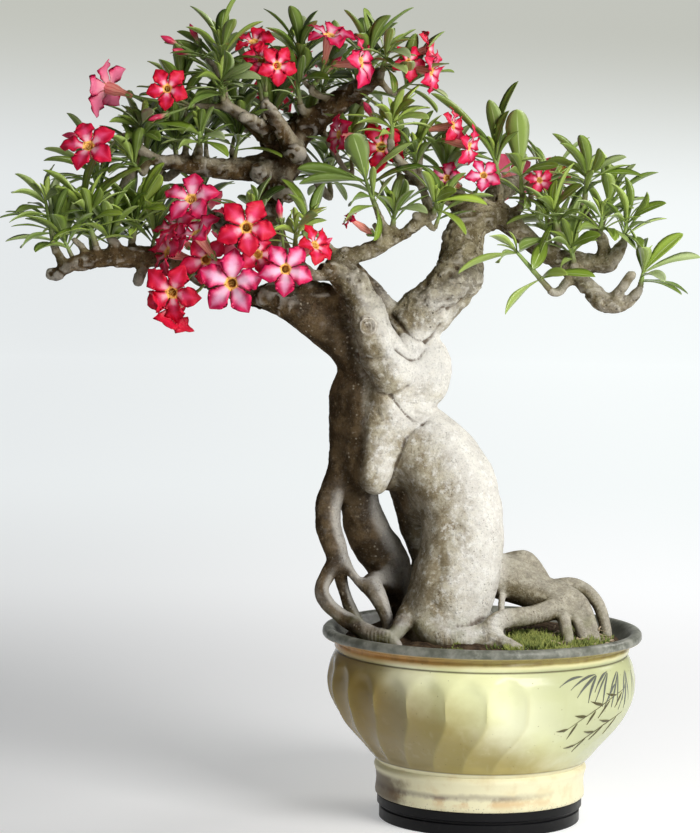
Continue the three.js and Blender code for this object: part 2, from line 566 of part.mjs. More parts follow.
// The sizes and aim of leaf k of a shoot whose leaves stand round it at the golden angle.
function ringLeaf(foot, top, count, k, seed) {
  const stem = top.clone().sub(foot).normalize();
  const first = stem.clone().cross(VIEW).normalize();
  const second = stem.clone().cross(first);
  const turn = GOLDEN_ANGLE * k + 2 * Math.PI * scatter(seed);
  const open = THREE.MathUtils.degToRad(24 + 56 * (k + 0.5) / count);
  const length = LEAF_LENGTH * (0.85 + 0.3 * scatter(seed + k + 7));
  const out = first.multiplyScalar(Math.cos(turn)).addScaledVector(second, Math.sin(turn));
  const root = top.clone().lerp(foot, 0.75 * (k + 0.2) / count);
  const tip = root.clone()
    .addScaledVector(stem, length * Math.cos(open))
    .addScaledVector(out, length * Math.sin(open));
  return { root, tip, seenWidth: 0, fullWidth: THREE.MathUtils.clamp(0.32 * length, 12, 18) };
}

// The blade's directions: across it, and its upper side's normal, which never looks down.
function leafDirections({ root, tip, seenWidth, fullWidth }) {
  const axis = tip.clone().sub(root).normalize();
  const facing = seenWidth > 0 ? VIEW : UP;
  const level = axis.clone().cross(facing).normalize();
  const lift = level.clone().cross(axis);
  const turn = seenWidth > 0 ? Math.acos(Math.min(1, seenWidth / fullWidth)) : 0;
  const across = level.multiplyScalar(Math.cos(turn)).addScaledVector(lift, Math.sin(turn));
  const normal = across.clone().cross(axis).normalize();
  if (normal.z < 0) {
    normal.negate();
    across.negate();
  }
  return { across, normal };
}

// Where a leaf's tip may be bent to, nearest first, so that the blade passes clear of the rest.
const BENDS = [
  [0, 0, 0], [0, -9, 0], [0, 9, 0], [0, -18, 0], [0, 18, 0], [7, 0, 4], [-7, 0, 4], [7, -12, -4],
  [-7, -12, -4], [0, -28, 6], [0, 28, 6], [12, 12, 8], [-12, 12, 8],
];

const placed = [];

function touches(solid) {
  const { min, max } = solid.boundingBox();
  return placed.some(({ box, solid: other }) => {
    const near = [0, 1, 2].every((axis) => min[axis] < box.max[axis] && max[axis] > box.min[axis]);
    return near && !solid.intersect(other).isEmpty();
  });
}

function place(solid) {
  placed.push({ solid, box: solid.boundingBox() });
}

// A leafy shoot: a short green stem and its leaves, bent clear of what is placed already.
function leafyShoot([footPoint, topPoint, leaves], seed) {
  const foot = vector(footPoint);
  const top = vector(topPoint);
  const axis = new THREE.LineCurve3(foot, top.clone().lerp(foot, -0.08));
  const stem = tube(axis, (t) => SHOOT_RADIUS * (1 - 0.45 * t), 4, 1);
  const count = Array.isArray(leaves) ? leaves.length : leaves;
  const pieces = [stem];
  for (let k = 0; k < count; k += 1) {
    const leaf = Array.isArray(leaves)
      ? listedLeaf(foot, top, leaves[k], seed + k)
      : ringLeaf(foot, top, count, k, seed);
    for (const bend of BENDS) {
      const bent = { ...leaf, tip: leaf.tip.clone().add(vector(bend)) };
      const directions = leafDirections(bent);
      if (!touches(blade(bent, directions, 2 * CLEARANCE))) {
        pieces.push(blade(bent, directions));
        break;
      }
    }
  }
  return joined(pieces, GREEN_TOLERANCE);
}

// A bloom: a trumpet with five pointed lobes, closed into one solid round its hollow throat.
const LOBES = 5;
function bloom(throat, facing, radius, roll) {
  const first = UP.clone().addScaledVector(facing, -UP.dot(facing)).normalize();
  const second = facing.clone().cross(first);
  const spot = (angle, reach, height) => throat.clone()
    .addScaledVector(first, reach * Math.cos(angle))
    .addScaledVector(second, reach * Math.sin(angle))
    .addScaledVector(facing, height);
  const points = [];
  const triangles = [];
  const add = (...place3) => points.push(spot(...place3)) - 1;
  const step = 2 * Math.PI / LOBES;
  const lobes = [];
  for (let i = 0; i < LOBES; i += 1) {
    const angle = roll + i * step;
    lobes.push({
      valley: add(angle - step / 2, 0.27 * radius, 0.03 * radius),
      rim: [
        add(angle - 0.38, 0.74 * radius, 0.06 * radius),
        add(angle, radius, -0.04 * radius),
        add(angle + 0.38, 0.74 * radius, 0.06 * radius),
      ],
      upper: [add(angle, 0.2 * radius, 0.5), add(angle, 0.62 * radius, 0.13 * radius + 0.6)],
      lower: add(angle, 0.62 * radius, 0.13 * radius - 0.8),
      neck: add(angle, Math.max(0.17 * radius, 4), -0.32 * radius),
    });
  }
  const floor = add(0, 0, -0.28 * radius);
  const calyx = add(0, 0, -BLOOM_TUBE - 2);
  for (let i = 0; i < LOBES; i += 1) {
    const { valley, rim, upper, lower, neck } = lobes[i];
    const next = lobes[(i + 1) % LOBES];
    const edge = [valley, ...rim, next.valley];
    for (let j = 0; j + 1 < edge.length; j += 1) {
      triangles.push([edge[j], edge[j + 1], upper[1]], [edge[j + 1], edge[j], lower]);
    }
    triangles.push([next.valley, upper[0], upper[1]], [upper[0], valley, upper[1]]);
    triangles.push([neck, next.valley, lower], [valley, neck, lower]);
    triangles.push([valley, upper[0], floor], [upper[0], next.valley, floor]);
    triangles.push([next.neck, next.valley, neck], [next.neck, neck, calyx]);
  }
  return solidFrom(points, triangles);
}

// A closed bud: a four-sided spindle.
function bud(tip, direction) {
  const curve = new THREE.LineCurve3(tip.clone().addScaledVector(direction, -BUD_LENGTH), tip);
  const girth = [1.7, 3.2, 0.4];
  return tube(curve, (t) => girth[Math.round(t * (girth.length - 1))], 4, girth.length - 1);
}

// A stalk from the spray's root to a bloom or bud, arriving along the way that it faces.
function stalk(root, end, facing) {
  const reach = root.distanceTo(end);
  const curve = new THREE.CubicBezierCurve3(
    root, root.clone().lerp(end, 0.4), end.clone().addScaledVector(facing, -0.3 * reach),
    end.clone().addScaledVector(facing, 1.5));
  return tube(curve, () => STALK_RADIUS, 3, 2);
}

function sprayDirection([rootPoint, blooms, buds]) {
  const root = vector(rootPoint);
  const middle = new THREE.Vector3();
  for (const [x, y, z, fx, fy, fz] of blooms) {
    const facing = new THREE.Vector3(fx, fy, fz).normalize();
    middle.add(new THREE.Vector3(x, y, z).addScaledVector(facing, -BLOOM_TUBE));
  }
  for (const tip of buds) {
    middle.add(vector(tip));
  }
  return middle.divideScalar(blooms.length + buds.length).sub(root).normalize();
}

// A spray of blooms and buds on stalks that leave one short hub. SHIFTS is how far a bloom may be
// brought towards the viewer, nearest first, to pass clear of the rest.
const SHIFTS = [0, 5, 10, 15, 20, -5];
const HUB_LENGTH = 6;
const HUB_RADIUS = 2.8;
function spray(entry, seed) {
  const [rootPoint, blooms, buds] = entry;
  const root = vector(rootPoint);
  const direction = sprayDirection(entry);
  const knuckle = root.clone().addScaledVector(direction, HUB_LENGTH / 2);
  const hub = new THREE.LineCurve3(root, root.clone().addScaledVector(direction, HUB_LENGTH));
  const pieces = [tube(hub, () => HUB_RADIUS, 4, 1)];
  blooms.forEach(([x, y, z, fx, fy, fz, radius], i) => {
    const facing = new THREE.Vector3(fx, fy, fz).normalize();
    const roll = 2 * Math.PI / LOBES * scatter(seed + i);
    for (const shift of SHIFTS) {
      const throat = new THREE.Vector3(x, y - shift, z);
      const flower = bloom(throat, facing, radius, roll);
      if (!touches(flower)) {
        const calyx = throat.clone().addScaledVector(facing, -BLOOM_TUBE);
        pieces.push(flower, stalk(knuckle, calyx, facing));
        break;
      }
    }
  });
  for (const tip of buds.map(vector)) {
    const aim = tip.clone().sub(root).normalize();
    const foot = tip.clone().addScaledVector(aim, -BUD_LENGTH);
    pieces.push(bud(tip, aim), stalk(knuckle, foot, aim));
  }
  return joined(pieces, GREEN_TOLERANCE);
}

// The pot's outside: a ring at each height, its radius drawn in between the ridges of the flutes,
// and the flutes swept round below the belly.
function potOutside() {
  const columns = 2 * FLUTES;
  const belly = 116;
  const waist = 58;
  return skin(POT_OUTSIDE.map(([height, radius, share]) => {
    const sweep = FLUTE_SWEEP * THREE.MathUtils.smoothstep(belly - height, 0, belly - waist);
    return Array.from({ length: columns }, (_, j) => {
      const angle = 2 * Math.PI * j / columns - sweep;
      const reach = radius - (j % 2) * share * FLUTE_DEPTH;
      return new THREE.Vector3(reach * Math.cos(angle), reach * Math.sin(angle), height);
    });
  }));
}

function potSolid() {
  const below = STAND_HEIGHT - 1;
  const aboveFloor = 40;
  const recess = [
    [0, below], [FOOT_RECESS_RADIUS, below], [FOOT_RECESS_RADIUS - 1, FOOT_RECESS_TOP],
    [0, FOOT_RECESS_TOP],
  ];
  const drain = [[0, below], [DRAIN_RADIUS, below], [DRAIN_RADIUS, aboveFloor], [0, aboveFloor]];
  return potOutside()
    .subtract(turned(POT_INSIDE, WALL_FACETS))
    .subtract(turned(recess, WALL_FACETS))
    .subtract(turned(drain, 12));
}

// The roots, trunk, limbs and twigs joined in one, as they grew.
function woodSolid() {
  const groups = [ROOTS, TRUNK, LIMBS].flatMap((group) => Object.values(group));
  const stems = groups.map((stations) => limb(stations));
  for (const [footPoint, topPoint] of Object.values(SHOOTS)) {
    const foot = vector(footPoint);
    stems.push(twig(foot, vector(topPoint).sub(foot).normalize(), SHOOT_TWIG_RADIUS, 4));
  }
  for (const entry of Object.values(SPRAYS)) {
    stems.push(twig(vector(entry[0]), sprayDirection(entry), SPRAY_TWIG_RADIUS, 3));
  }
  return joined(stems, WOOD_TOLERANCE);
}

// The soil, with a plain hole round each root that goes down into it.
function soilSolid() {
  const holes = wasm.Manifold.union(Object.values(ROOTS).map((stations) => limb(stations, ROOT_GAP)));
  return turned(SOIL_OUTLINE, WALL_FACETS).subtract(holes).asOriginal().simplify(SOIL_TOLERANCE);
}

const BLACK = 0x17181b;
const CELADON = 0xd8d3a6;
const EARTH = 0x3d3226;
const BARK = 0x9a8a72;
const CRIMSON = 0xd81f55;
const GREEN = 0x4c7034;
const SEED_STEP = 40;
const SHOOT_SEED = 1000;
const model = new THREE.Group();

// Adds a finished piece, which what comes after it is kept clear of.
function addMesh(name, solid, color, roughness) {
  place(solid);
  const { vertProperties, triVerts } = solid.getMesh();
  const geometry = new THREE.BufferGeometry();
  geometry.setAttribute('position', new THREE.BufferAttribute(vertProperties, 3));
  geometry.setIndex(new THREE.BufferAttribute(triVerts, 1));
  geometry.computeVertexNormals();
  const material = new THREE.MeshStandardMaterial({ color, roughness, metalness: 0 });
  const mesh = new THREE.Mesh(geometry, material);
  mesh.name = name;
  model.add(mesh);
}

addMesh('stand', turned(STAND_OUTLINE, STAND_FACETS), BLACK, 0.45);
addMesh('pot', potSolid(), CELADON, 0.3);
addMesh('soil', soilSolid(), EARTH, 0.95);
addMesh('tree', woodSolid(), BARK, 0.85);
Object.entries(SPRAYS).forEach(([name, entry], i) => {
  addMesh(name, spray(entry, SEED_STEP * i), CRIMSON, 0.5);
});
Object.entries(SHOOTS).forEach(([name, entry], i) => {
  addMesh(name, leafyShoot(entry, SHOOT_SEED + SEED_STEP * i), GREEN, 0.4);
});

export default model;
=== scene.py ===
"""A desert rose grown as a bonsai, in a fluted glazed pot on a low black stand.

Places and sizes are millimetres until they become a mesh, which is in metres. The origin is the
centre of the stand's underside, +Z is up, and the viewer looks along +Y.
"""
import itertools
import math

import bpy
import numpy as np
from mathutils import Matrix, Vector


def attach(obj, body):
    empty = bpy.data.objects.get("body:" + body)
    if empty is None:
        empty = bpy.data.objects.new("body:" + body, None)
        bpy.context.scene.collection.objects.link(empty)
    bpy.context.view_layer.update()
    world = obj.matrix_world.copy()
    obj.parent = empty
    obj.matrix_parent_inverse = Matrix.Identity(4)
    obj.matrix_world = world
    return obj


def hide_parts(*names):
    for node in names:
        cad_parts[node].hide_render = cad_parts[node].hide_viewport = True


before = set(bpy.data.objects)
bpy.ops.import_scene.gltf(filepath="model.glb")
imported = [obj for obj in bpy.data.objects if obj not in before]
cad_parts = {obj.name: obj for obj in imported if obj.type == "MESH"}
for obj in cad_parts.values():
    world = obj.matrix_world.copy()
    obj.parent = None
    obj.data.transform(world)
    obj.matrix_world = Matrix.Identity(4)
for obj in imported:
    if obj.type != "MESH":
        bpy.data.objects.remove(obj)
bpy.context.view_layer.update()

MM = 0.001
UP = np.array([0.0, 0.0, 1.0])
VIEW = np.array([0.0, 1.0, 0.0])

# Driving sizes, the same as the solids'
STAND_RADIUS = 97.0
STAND_HEIGHT = 23.0
RIM_RADIUS = 151.0
RIM_TOP = 182.0
FLUTES = 24
FLUTE_DEPTH = 2.4
FLUTE_SWEEP = math.radians(11)
TWIG_GAP = 0.7
LEAF_LENGTH = 50.0
LEAF_THICKNESS = 1.4
LEAF_BOW = 0.08
BROAD_LEAF = 12
SHOOT_RADIUS = 3.6
SHOOT_TWIG_RADIUS = 4.2
SPRAY_TWIG_RADIUS = 3.2
STALK_RADIUS = 1.3
BLOOM_TUBE = 27.0
BUD_LENGTH = 22.0
GOLDEN_ANGLE = math.radians(137.5)
LOBES = 5
HUB_LENGTH = 6.0
HUB_RADIUS = 2.8
SEED_STEP = 40
SHOOT_SEED = 1000

# Roots, trunk and limbs: [x, y, z, radius] along each one's middle line, from the base outwards.
ROOTS = {
    "front_leg": [
        [-36, -24, 146, 34], [-35, -28, 173, 39.5], [-32, -30, 207, 40.5], [-26, -30, 238, 41],
        [-21, -27, 270, 38.5], [-23, -21, 300, 38.5], [-36, -13, 329, 40.5], [-58, -5, 353, 36.5],
        [-78, 2, 373, 31]],
    "back_leg": [
        [-22, 54, 138, 17.5], [-27, 54, 171, 20], [-35, 54, 207, 19], [-49, 50, 246, 18],
        [-62, 42, 278, 18], [-71, 34, 308, 19], [-84, 22, 342, 23]],
    "middle_leg": [
        [-70, 44, 138, 13.5], [-73, 44, 166, 16.5], [-80, 42, 201, 18], [-91, 36, 235, 21],
        [-105, 28, 262, 21], [-115, 22, 285, 20], [-120, 18, 310, 19], [-121, 16, 342, 19]],
    "left_root": [
        [-134, -14, 240, 8.5], [-140, -12, 257, 10.5], [-147, -8, 278, 12], [-147, -4, 296, 12],
        [-140, 2, 316, 13], [-131, 8, 336, 15]],
    "left_loop": [
        [-104, -46, 156, 5.5], [-113, -41, 178, 6.5], [-128, -36, 192, 7], [-144, -32, 204, 7],
        [-152, -26, 217, 7], [-148, -20, 230, 7.5], [-137, -14, 246, 8.5]],
    "left_strand": [
        [-104, -22, 152, 5.5], [-112, -18, 176, 6.5], [-120, -10, 190, 7], [-128, -4, 206, 6.5],
        [-134, -6, 226, 6.5], [-135, -12, 245, 7.5]],
    "left_link": [
        [-133, -12, 245, 6.5], [-124, -14, 233, 4.5], [-115, -16, 223, 4.5], [-104, -16, 215, 5.5]],
    "knee_root": [
        [-85, -30, 154, 5], [-88, -30, 180, 6], [-92, -28, 197, 7], [-98, -24, 211, 9],
        [-105, -12, 222, 10.5], [-99, 6, 224, 10.5], [-87, 30, 214, 11.5]],
    "rim_root": [
        [-74, -78, 156, 4.5], [-80, -76, 172, 5.5], [-90, -70, 181, 7], [-103, -62, 182, 7.5],
        [-115, -50, 187, 7.5], [-126, -36, 191, 7], [-136, -22, 192, 5.5]],
    "heel_root": [
        [-93, -66, 156, 4.5], [-89, -64, 175, 6.5], [-81, -58, 186, 7.5], [-73, -44, 196, 9.5],
        [-64, -20, 209, 11.5]],
    "toe_root": [
        [-60, -44, 202, 11], [-53, -62, 187, 10], [-38, -72, 182, 11], [-21, -75, 180, 12],
        [-5, -70, 184, 11], [7, -54, 190, 9.5]],
    "right_root": [
        [-14, 6, 239, 22.5], [17, 8, 229, 21], [37, 4, 221, 19], [58, -6, 213, 16], [72, -16, 205, 12]],
    "right_knob": [[12, 20, 227, 13.5], [32, 20, 238, 14.5], [44, 20, 236, 13.5], [55, 10, 222, 11.5]],
    "finger_a": [
        [81, -64, 154, 4.5], [79, -60, 172, 5.5], [76, -50, 189, 6], [72, -30, 203, 7], [61, -8, 211, 9.5]],
    "finger_b": [
        [111, -46, 155, 4.5], [103, -40, 179, 6], [97, -26, 194, 8.5], [88, -12, 207, 12],
        [73, -2, 215, 13], [54, 2, 218, 13]],
    "finger_c": [[101, -52, 156, 4], [92, -42, 185, 5.5], [83, -26, 199, 6.5], [69, -10, 208, 7.5]],
    "finger_d": [
        [119, -8, 153, 4.5], [118, -4, 174, 5.5], [115, 2, 190, 6], [110, 8, 204, 6.5], [100, 14, 215, 7],
        [86, 18, 221, 7.5], [66, 14, 218, 8.5]],
    "front_root": [
        [5, -78, 158, 8.5], [5, -76, 187, 10], [12, -70, 197, 10], [25, -60, 199, 9.5],
        [45, -46, 200, 9.5], [64, -30, 204, 9.5], [80, -12, 212, 9.5]],
    "front_spread": [[50, -98, 163, 3.5], [31, -94, 175, 5.5], [17, -86, 180, 7.5], [4, -72, 186, 9]],
    "peg_root": [[18, -44, 172, 3], [17, -40, 198, 3.5], [17, -22, 207, 3.5], [19, 0, 217, 4]],
    "back_root": [[20, 96, 152, 6], [8, 84, 176, 8.5], [-8, 66, 196, 12], [-24, 44, 222, 16]],
    "back_spread": [[-86, 92, 152, 6], [-78, 80, 178, 8.5], [-66, 62, 200, 11], [-52, 42, 228, 15]],
}
TRUNK = {
    "left_lobe": [
        [-108, 10, 433, 20.5], [-121, 12, 409, 22.5], [-127, 13, 383, 20], [-127, 15, 354, 19],
        [-125, 16, 328, 18], [-121, 18, 309, 14]],
    "centre_lobe": [
        [-93, -2, 423, 25.5], [-89, -8, 399, 26.5], [-94, -14, 375, 23.5], [-100, -19, 352, 18.5],
        [-103, -21, 332, 16], [-103, -20, 318, 11]],
    "back_lobe": [
        [-89, 18, 421, 26.5], [-84, 26, 390, 30.5], [-78, 26, 360, 31.5], [-62, 22, 330, 32.5],
        [-45, 14, 301, 32]],
    "right_bulge": [
        [-79, 2, 402, 20.5], [-60, 4, 410, 19], [-53, 6, 428, 18], [-58, 4, 446, 15], [-66, 0, 461, 13]],
}
LIMBS = {
    "left_limb": [
        [-92, 10, 403, 23.5], [-111, 10, 427, 23.5], [-133, 8, 450, 21.5], [-159, 4, 470, 19.5],
        [-184, 0, 485, 17], [-202, -4, 493, 13], [-212, -8, 490, 9.5]],
    "front_limb": [
        [-89, -16, 401, 17], [-85, -24, 423, 20.5], [-97, -28, 445, 19.5], [-108, -28, 466, 18.5],
        [-118, -24, 490, 17], [-131, -20, 510, 15], [-145, -18, 522, 12]],
    "fork_limb": [[-114, 4, 450, 14], [-134, -2, 478, 14], [-150, -4, 493, 13.5], [-172, -4, 499, 10.5]],
    "behind_limb": [[-78, 12, 461, 14], [-97, 12, 482, 12.5], [-118, 10, 504, 11.5], [-133, 2, 523, 9.5]],
    "right_limb": [
        [-82, 8, 451, 16], [-67, 6, 477, 20.5], [-45, 8, 492, 24.5], [-28, 14, 513, 23.5],
        [-23, 22, 537, 21], [-19, 28, 559, 20], [-4, 34, 573, 18]],
    "rising_limb": [
        [-148, 16, 464, 16], [-172, 30, 488, 16], [-192, 42, 515, 14.5], [-202, 50, 545, 12.5],
        [-206, 54, 574, 12.5], [-201, 56, 598, 15], [-194, 56, 621, 18], [-188, 52, 640, 14.5]],
    "low_left_limb": [
        [-190, 2, 487, 13], [-212, 4, 490, 11.5], [-240, 2, 499, 10.5], [-272, -8, 514, 10.5],
        [-299, -20, 527, 10], [-325, -30, 529, 11], [-350, -38, 527, 10], [-372, -44, 524, 8.5],
        [-388, -48, 520, 6.5], [-400, -50, 512, 5]],
    "high_left_limb": [
        [-194, 52, 612, 14.5], [-218, 44, 612, 13.5], [-245, 36, 611, 11.5], [-269, 26, 613, 10],
        [-293, 14, 615, 8.5], [-311, 0, 618, 6.5], [-327, -10, 627, 5]],
    "crown_right_limb": [
        [-194, 52, 629, 16], [-175, 44, 650, 14], [-153, 34, 667, 13], [-132, 24, 682, 11.5],
        [-117, 14, 690, 8.5], [-106, 6, 697, 5.5]],
    "crown_left_limb": [
        [-192, 52, 627, 15], [-209, 34, 642, 11.5], [-222, 18, 653, 8.5], [-235, 6, 662, 6.5],
        [-247, -4, 669, 5.5]],
    "crown_knob": [
        [-190, 46, 633, 11.5], [-188, 24, 633, 10.5], [-194, 10, 646, 9], [-203, 0, 661, 7.5],
        [-212, -8, 674, 5.5]],
    "crown_back_limb": [
        [-192, 56, 627, 14.5], [-185, 90, 646, 11.5], [-176, 116, 664, 9.5], [-165, 136, 680, 8]],
    "scar_stub": [[-131, -18, 511, 11], [-145, -32, 518, 9.5], [-157, -39, 519, 8]],
    "bloom_stub": [[-146, -32, 517, 6.5], [-161, -48, 515, 6], [-173, -58, 521, 5.5], [-178, -62, 531, 4]],
    "wrist_limb": [
        [-141, -14, 516, 10.5], [-137, -12, 529, 9.5], [-124, -10, 533, 8.5], [-109, -8, 538, 8],
        [-93, -6, 546, 7.5], [-78, -4, 554, 7], [-65, -2, 565, 6.5], [-57, 0, 576, 5.5], [-62, 8, 592, 5],
        [-68, 12, 606, 4]],
    "right_far_limb": [
        [-9, 30, 566, 16], [12, 34, 570, 14], [29, 30, 557, 10.5], [46, 24, 542, 9.5], [64, 18, 531, 8.5],
        [83, 12, 528, 9.5], [98, 6, 527, 9]],
    "far_cup": [[94, 8, 528, 8.5], [105, 2, 525, 8.5], [115, -4, 529, 8], [122, -8, 542, 6]],
    "far_cup_left": [[103, 4, 523, 7.5], [108, 2, 538, 6.5], [106, 0, 550, 5.5]],
    "low_far_limb": [
        [66, 16, 529, 7.5], [81, 4, 516, 7.5], [95, -8, 504, 9.5], [105, -14, 494, 10.5],
        [116, -18, 489, 8.5], [128, -20, 491, 6.5], [137, -22, 500, 5]],
    "low_far_stub": [[115, -18, 492, 6.5], [124, -24, 506, 5.5], [134, -28, 521, 4.5]],
    "right_back_limb": [[-9, 36, 567, 13.5], [9, 66, 588, 10.5], [27, 92, 599, 8.5], [47, 108, 605, 7]],
    "left_back_limb": [
        [-177, 34, 497, 13.5], [-207, 76, 521, 11.5], [-237, 104, 543, 9.5], [-262, 124, 562, 7]],
    "middle_back_limb": [[-18, 30, 562, 14], [-28, 60, 584, 11.5], [-50, 88, 600, 9.5], [-76, 108, 603, 7]],
}
# Shoots: foot, top, and either how many leaves stand round each or its leaves: how far right of the
# top and over it each tip is, whether it points to the viewer (-1) or away (1), and its seen width.
SHOOTS = {
    "left_fan": [[-365, -44, 540], [-374, -50, 570], [
        [-39, 38, -1, 8], [-26, 23, -1, 9], [-8, 8, -1, 11], [1, 33, 1, 7], [16, 23, -1, 10],
        [31, 33, 1, 8], [51, 41, -1, 7], [36, -1, -1, 6], [4, 57, 1, 10]]],
    "left_outer": [[-403, -50, 541], [-410, -54, 577], [
        [-29, 27, 0, 8], [-27, 10, -1, 8], [-29, -10, 0, 6], [-31, -17, -1, 6], [-19, -40, -1, 5],
        [5, 36, 1, 6], [15, 11, -1, 7]]],
    "left_back": [[-364, 16, 584], [-373, 12, 606], [
        [-46, 21, 1, 8], [-44, 10, -1, 7], [-25, 55, 1, 8], [-30, 28, 1, 8], [24, 21, -1, 9]]],
    "left_inner": [[-332, -24, 544], [-326, -26, 572], [
        [24, 44, -1, 11], [21, 33, -1, 15], [8, 10, -1, 13], [27, 1, -1, 7], [-18, 18, 1, 8],
        [10, 30, 1, 9]]],
    "left_upper": [[-327, 0, 636], [-324, 0, 650], [
        [-11, 15, 0, 8], [-23, 10, 1, 8], [-30, 3, -1, 9], [50, -5, -1, 7], [6, 9, -1, 10],
        [-15, -15, -1, 11], [18, -14, -1, 10]]],
    "top_left": [[-253, 30, 683], [-256, 28, 711], [
        [-8, 39, 0, 11], [-40, 28, 1, 8], [-51, 17, -1, 10], [-19, 27, -1, 9], [15, 37, 0, 6],
        [-19, -1, -1, 11], [-27, -10, -1, 8]]],
    "top_low_left": [[-250, -6, 676], [-252, -10, 692], [
        [6, 27, -1, 13], [-21, 2, -1, 8], [-25, -14, 0, 7], [-29, -27, -1, 7], [30, 15, -1, 11],
        [38, 2, -1, 8]]],
    "top_middle": [[-215, 50, 676], [-221, 52, 706], [
        [5, 41, 1, 9], [-16, 30, 1, 9], [14, 23, -1, 8], [-10, 9, -1, 9], [25, 19, -1, 11]]],
    "top_right": [[-179, 24, 674], [-182, 20, 695], [
        [-15, 30, -1, 11], [-1, 54, 1, 9], [8, 30, -1, 13], [23, 19, 1, 8], [-27, 3, -1, 8],
        [31, 0, -1, 8]]],
    "top_inner": [[-158, 44, 680], [-155, 48, 697], [
        [20, 29, 1, 9], [11, 16, -1, 8], [25, 1, -1, 9], [-13, 19, 1, 8]]],
    "top_far": [[-102, 2, 705], [-98, 0, 720], [
        [7, 24, 0, 9], [26, 15, 1, 8], [21, -5, -1, 7], [18, -19, -1, 7], [6, -37, -1, 7],
        [-12, 26, 1, 8]]],
    "top_bright": [[-93, -20, 642], [-92, -22, 656], [
        [-9, 23, 1, 8], [20, 20, -1, 7], [-34, -2, -1, 7], [-17, 15, -1, 8], [35, 14, 1, 7],
        [33, 4, -1, 7], [-13, -15, -1, 7]]],
    "top_under": [[-272, 6, 632], [-272, 0, 645], [
        [-13, -2, -1, 7], [25, -7, -1, 7], [28, -23, -1, 7], [-18, -17, -1, 7]]],
    "front_sprig": [[-180, -66, 540], [-180, -68, 553], [
        [-3, 20, 1, 7], [21, 18, -1, 7], [-22, 2, -1, 6], [28, 12, 1, 7]]],
    "back_sprig": [[-221, -14, 549], [-220, -20, 569], [
        [-3, 28, 0, 7], [14, 32, 1, 8], [30, 26, -1, 7], [-17, 15, 1, 7]]],
    "middle_big": [[-104, -12, 571], [-116, -14, 602], [
        [-13, 43, -1, 25], [48, 72, -1, 8], [42, 35, -1, 7], [54, 14, -1, 7], [-64, 10, 0, 14],
        [-62, -4, -1, 12], [-19, -38, -1, 8], [-14, -23, -1, 8], [8, -55, -1, 7]]],
    "middle_low": [[-90, -8, 561], [-89, -10, 573], [
        [-16, 15, -1, 8], [-10, 28, 1, 7], [9, 31, -1, 11], [30, 0, -1, 7]]],
    "middle_bright": [[-52, -10, 573], [-50, -16, 583], [
        [-8, 16, 0, 8], [17, 11, -1, 11], [47, -2, -1, 8]]],
    "middle_upper": [[-69, 14, 614], [-69, 14, 626], [
        [-5, 12, -1, 17], [20, 18, 1, 8], [-21, -7, -1, 8], [13, 27, 1, 8]]],
    "right_first": [[10, 30, 604], [6, 28, 622], [
        [-7, 57, -1, 16], [21, 75, 1, 8], [-24, 33, -1, 9], [12, 47, -1, 8], [-46, 1, -1, 8],
        [-62, 62, -1, 9]]],
    "right_second": [[32, 24, 587], [30, 22, 608], [
        [-6, 62, -1, 25], [33, 10, -1, 9], [-14, 21, -1, 13], [-17, 1, -1, 8], [1, -30, -1, 8]]],
    "right_third": [[90, 14, 586], [92, 12, 607], [
        [-34, 41, -1, 8], [-28, 32, -1, 8], [-9, 40, -1, 13], [9, 27, -1, 12], [35, 20, -1, 8],
        [52, 2, -1, 7], [-36, 16, 1, 8]]],
    "right_fourth": [[64, -4, 558], [60, -6, 575], [
        [2, 30, 0, 9], [-20, 13, -1, 9], [24, 26, -1, 8], [-11, 26, 1, 7]]],
    "right_fifth": [[126, -6, 550], [129, -2, 565], [
        [-19, 38, -1, 8], [-3, 44, 0, 8], [16, 30, -1, 9], [34, 20, -1, 8], [-23, 6, -1, 7],
        [11, -22, -1, 7]]],
    "right_sixth": [[141, -24, 508], [143, -25, 520], [
        [36, 37, -1, 13], [6, 31, 1, 11], [-5, 25, -1, 13], [53, 15, -1, 8], [16, -6, -1, 6]]],
    "right_seventh": [[80, -2, 528], [77, -4, 542], [
        [24, 13, -1, 11], [-3, 34, 1, 8], [-26, 6, -1, 8], [-12, -22, -1, 8], [14, 5, 1, 9]]],
    "right_shoot": [[56, -14, 504], [25, -24, 538], [
        [-27, 15, -1, 9], [-54, -21, -1, 8], [-18, -9, -1, 8], [73, -22, -1, 8], [45, -19, -1, 8],
        [-10, -58, -1, 10]]],
    "right_low": [[57, 6, 546], [54, 4, 565], [[-27, -24, -1, 13], [-14, -43, -1, 15], [-25, -2, 1, 9]]],
    "right_inner": [[104, -4, 556], [105, -8, 570], [
        [-26, 16, -1, 7], [-12, 28, 1, 7], [-24, -13, -1, 12], [9, -20, -1, 7]]],
    "back_top_left": [[-240, 118, 657], [-249, 132, 675], 7],
    "back_top": [[-156, 142, 690], [-145, 148, 704], 7],
    "back_top_right": [[-130, 86, 676], [-120, 98, 692], 6],
    "back_left_low": [[-270, 130, 570], [-278, 138, 587], 7],
    "back_middle": [[-83, 114, 606], [-85, 122, 622], 7],
    "back_right": [[52, 106, 596], [70, 122, 606], 6],
    "back_left_high": [[-313, 66, 610], [-321, 76, 629], 5],
    "back_right_low": [[67, 58, 539], [73, 68, 556], 6],
    "back_centre": [[-150, 104, 591], [-152, 114, 610], 6],
}
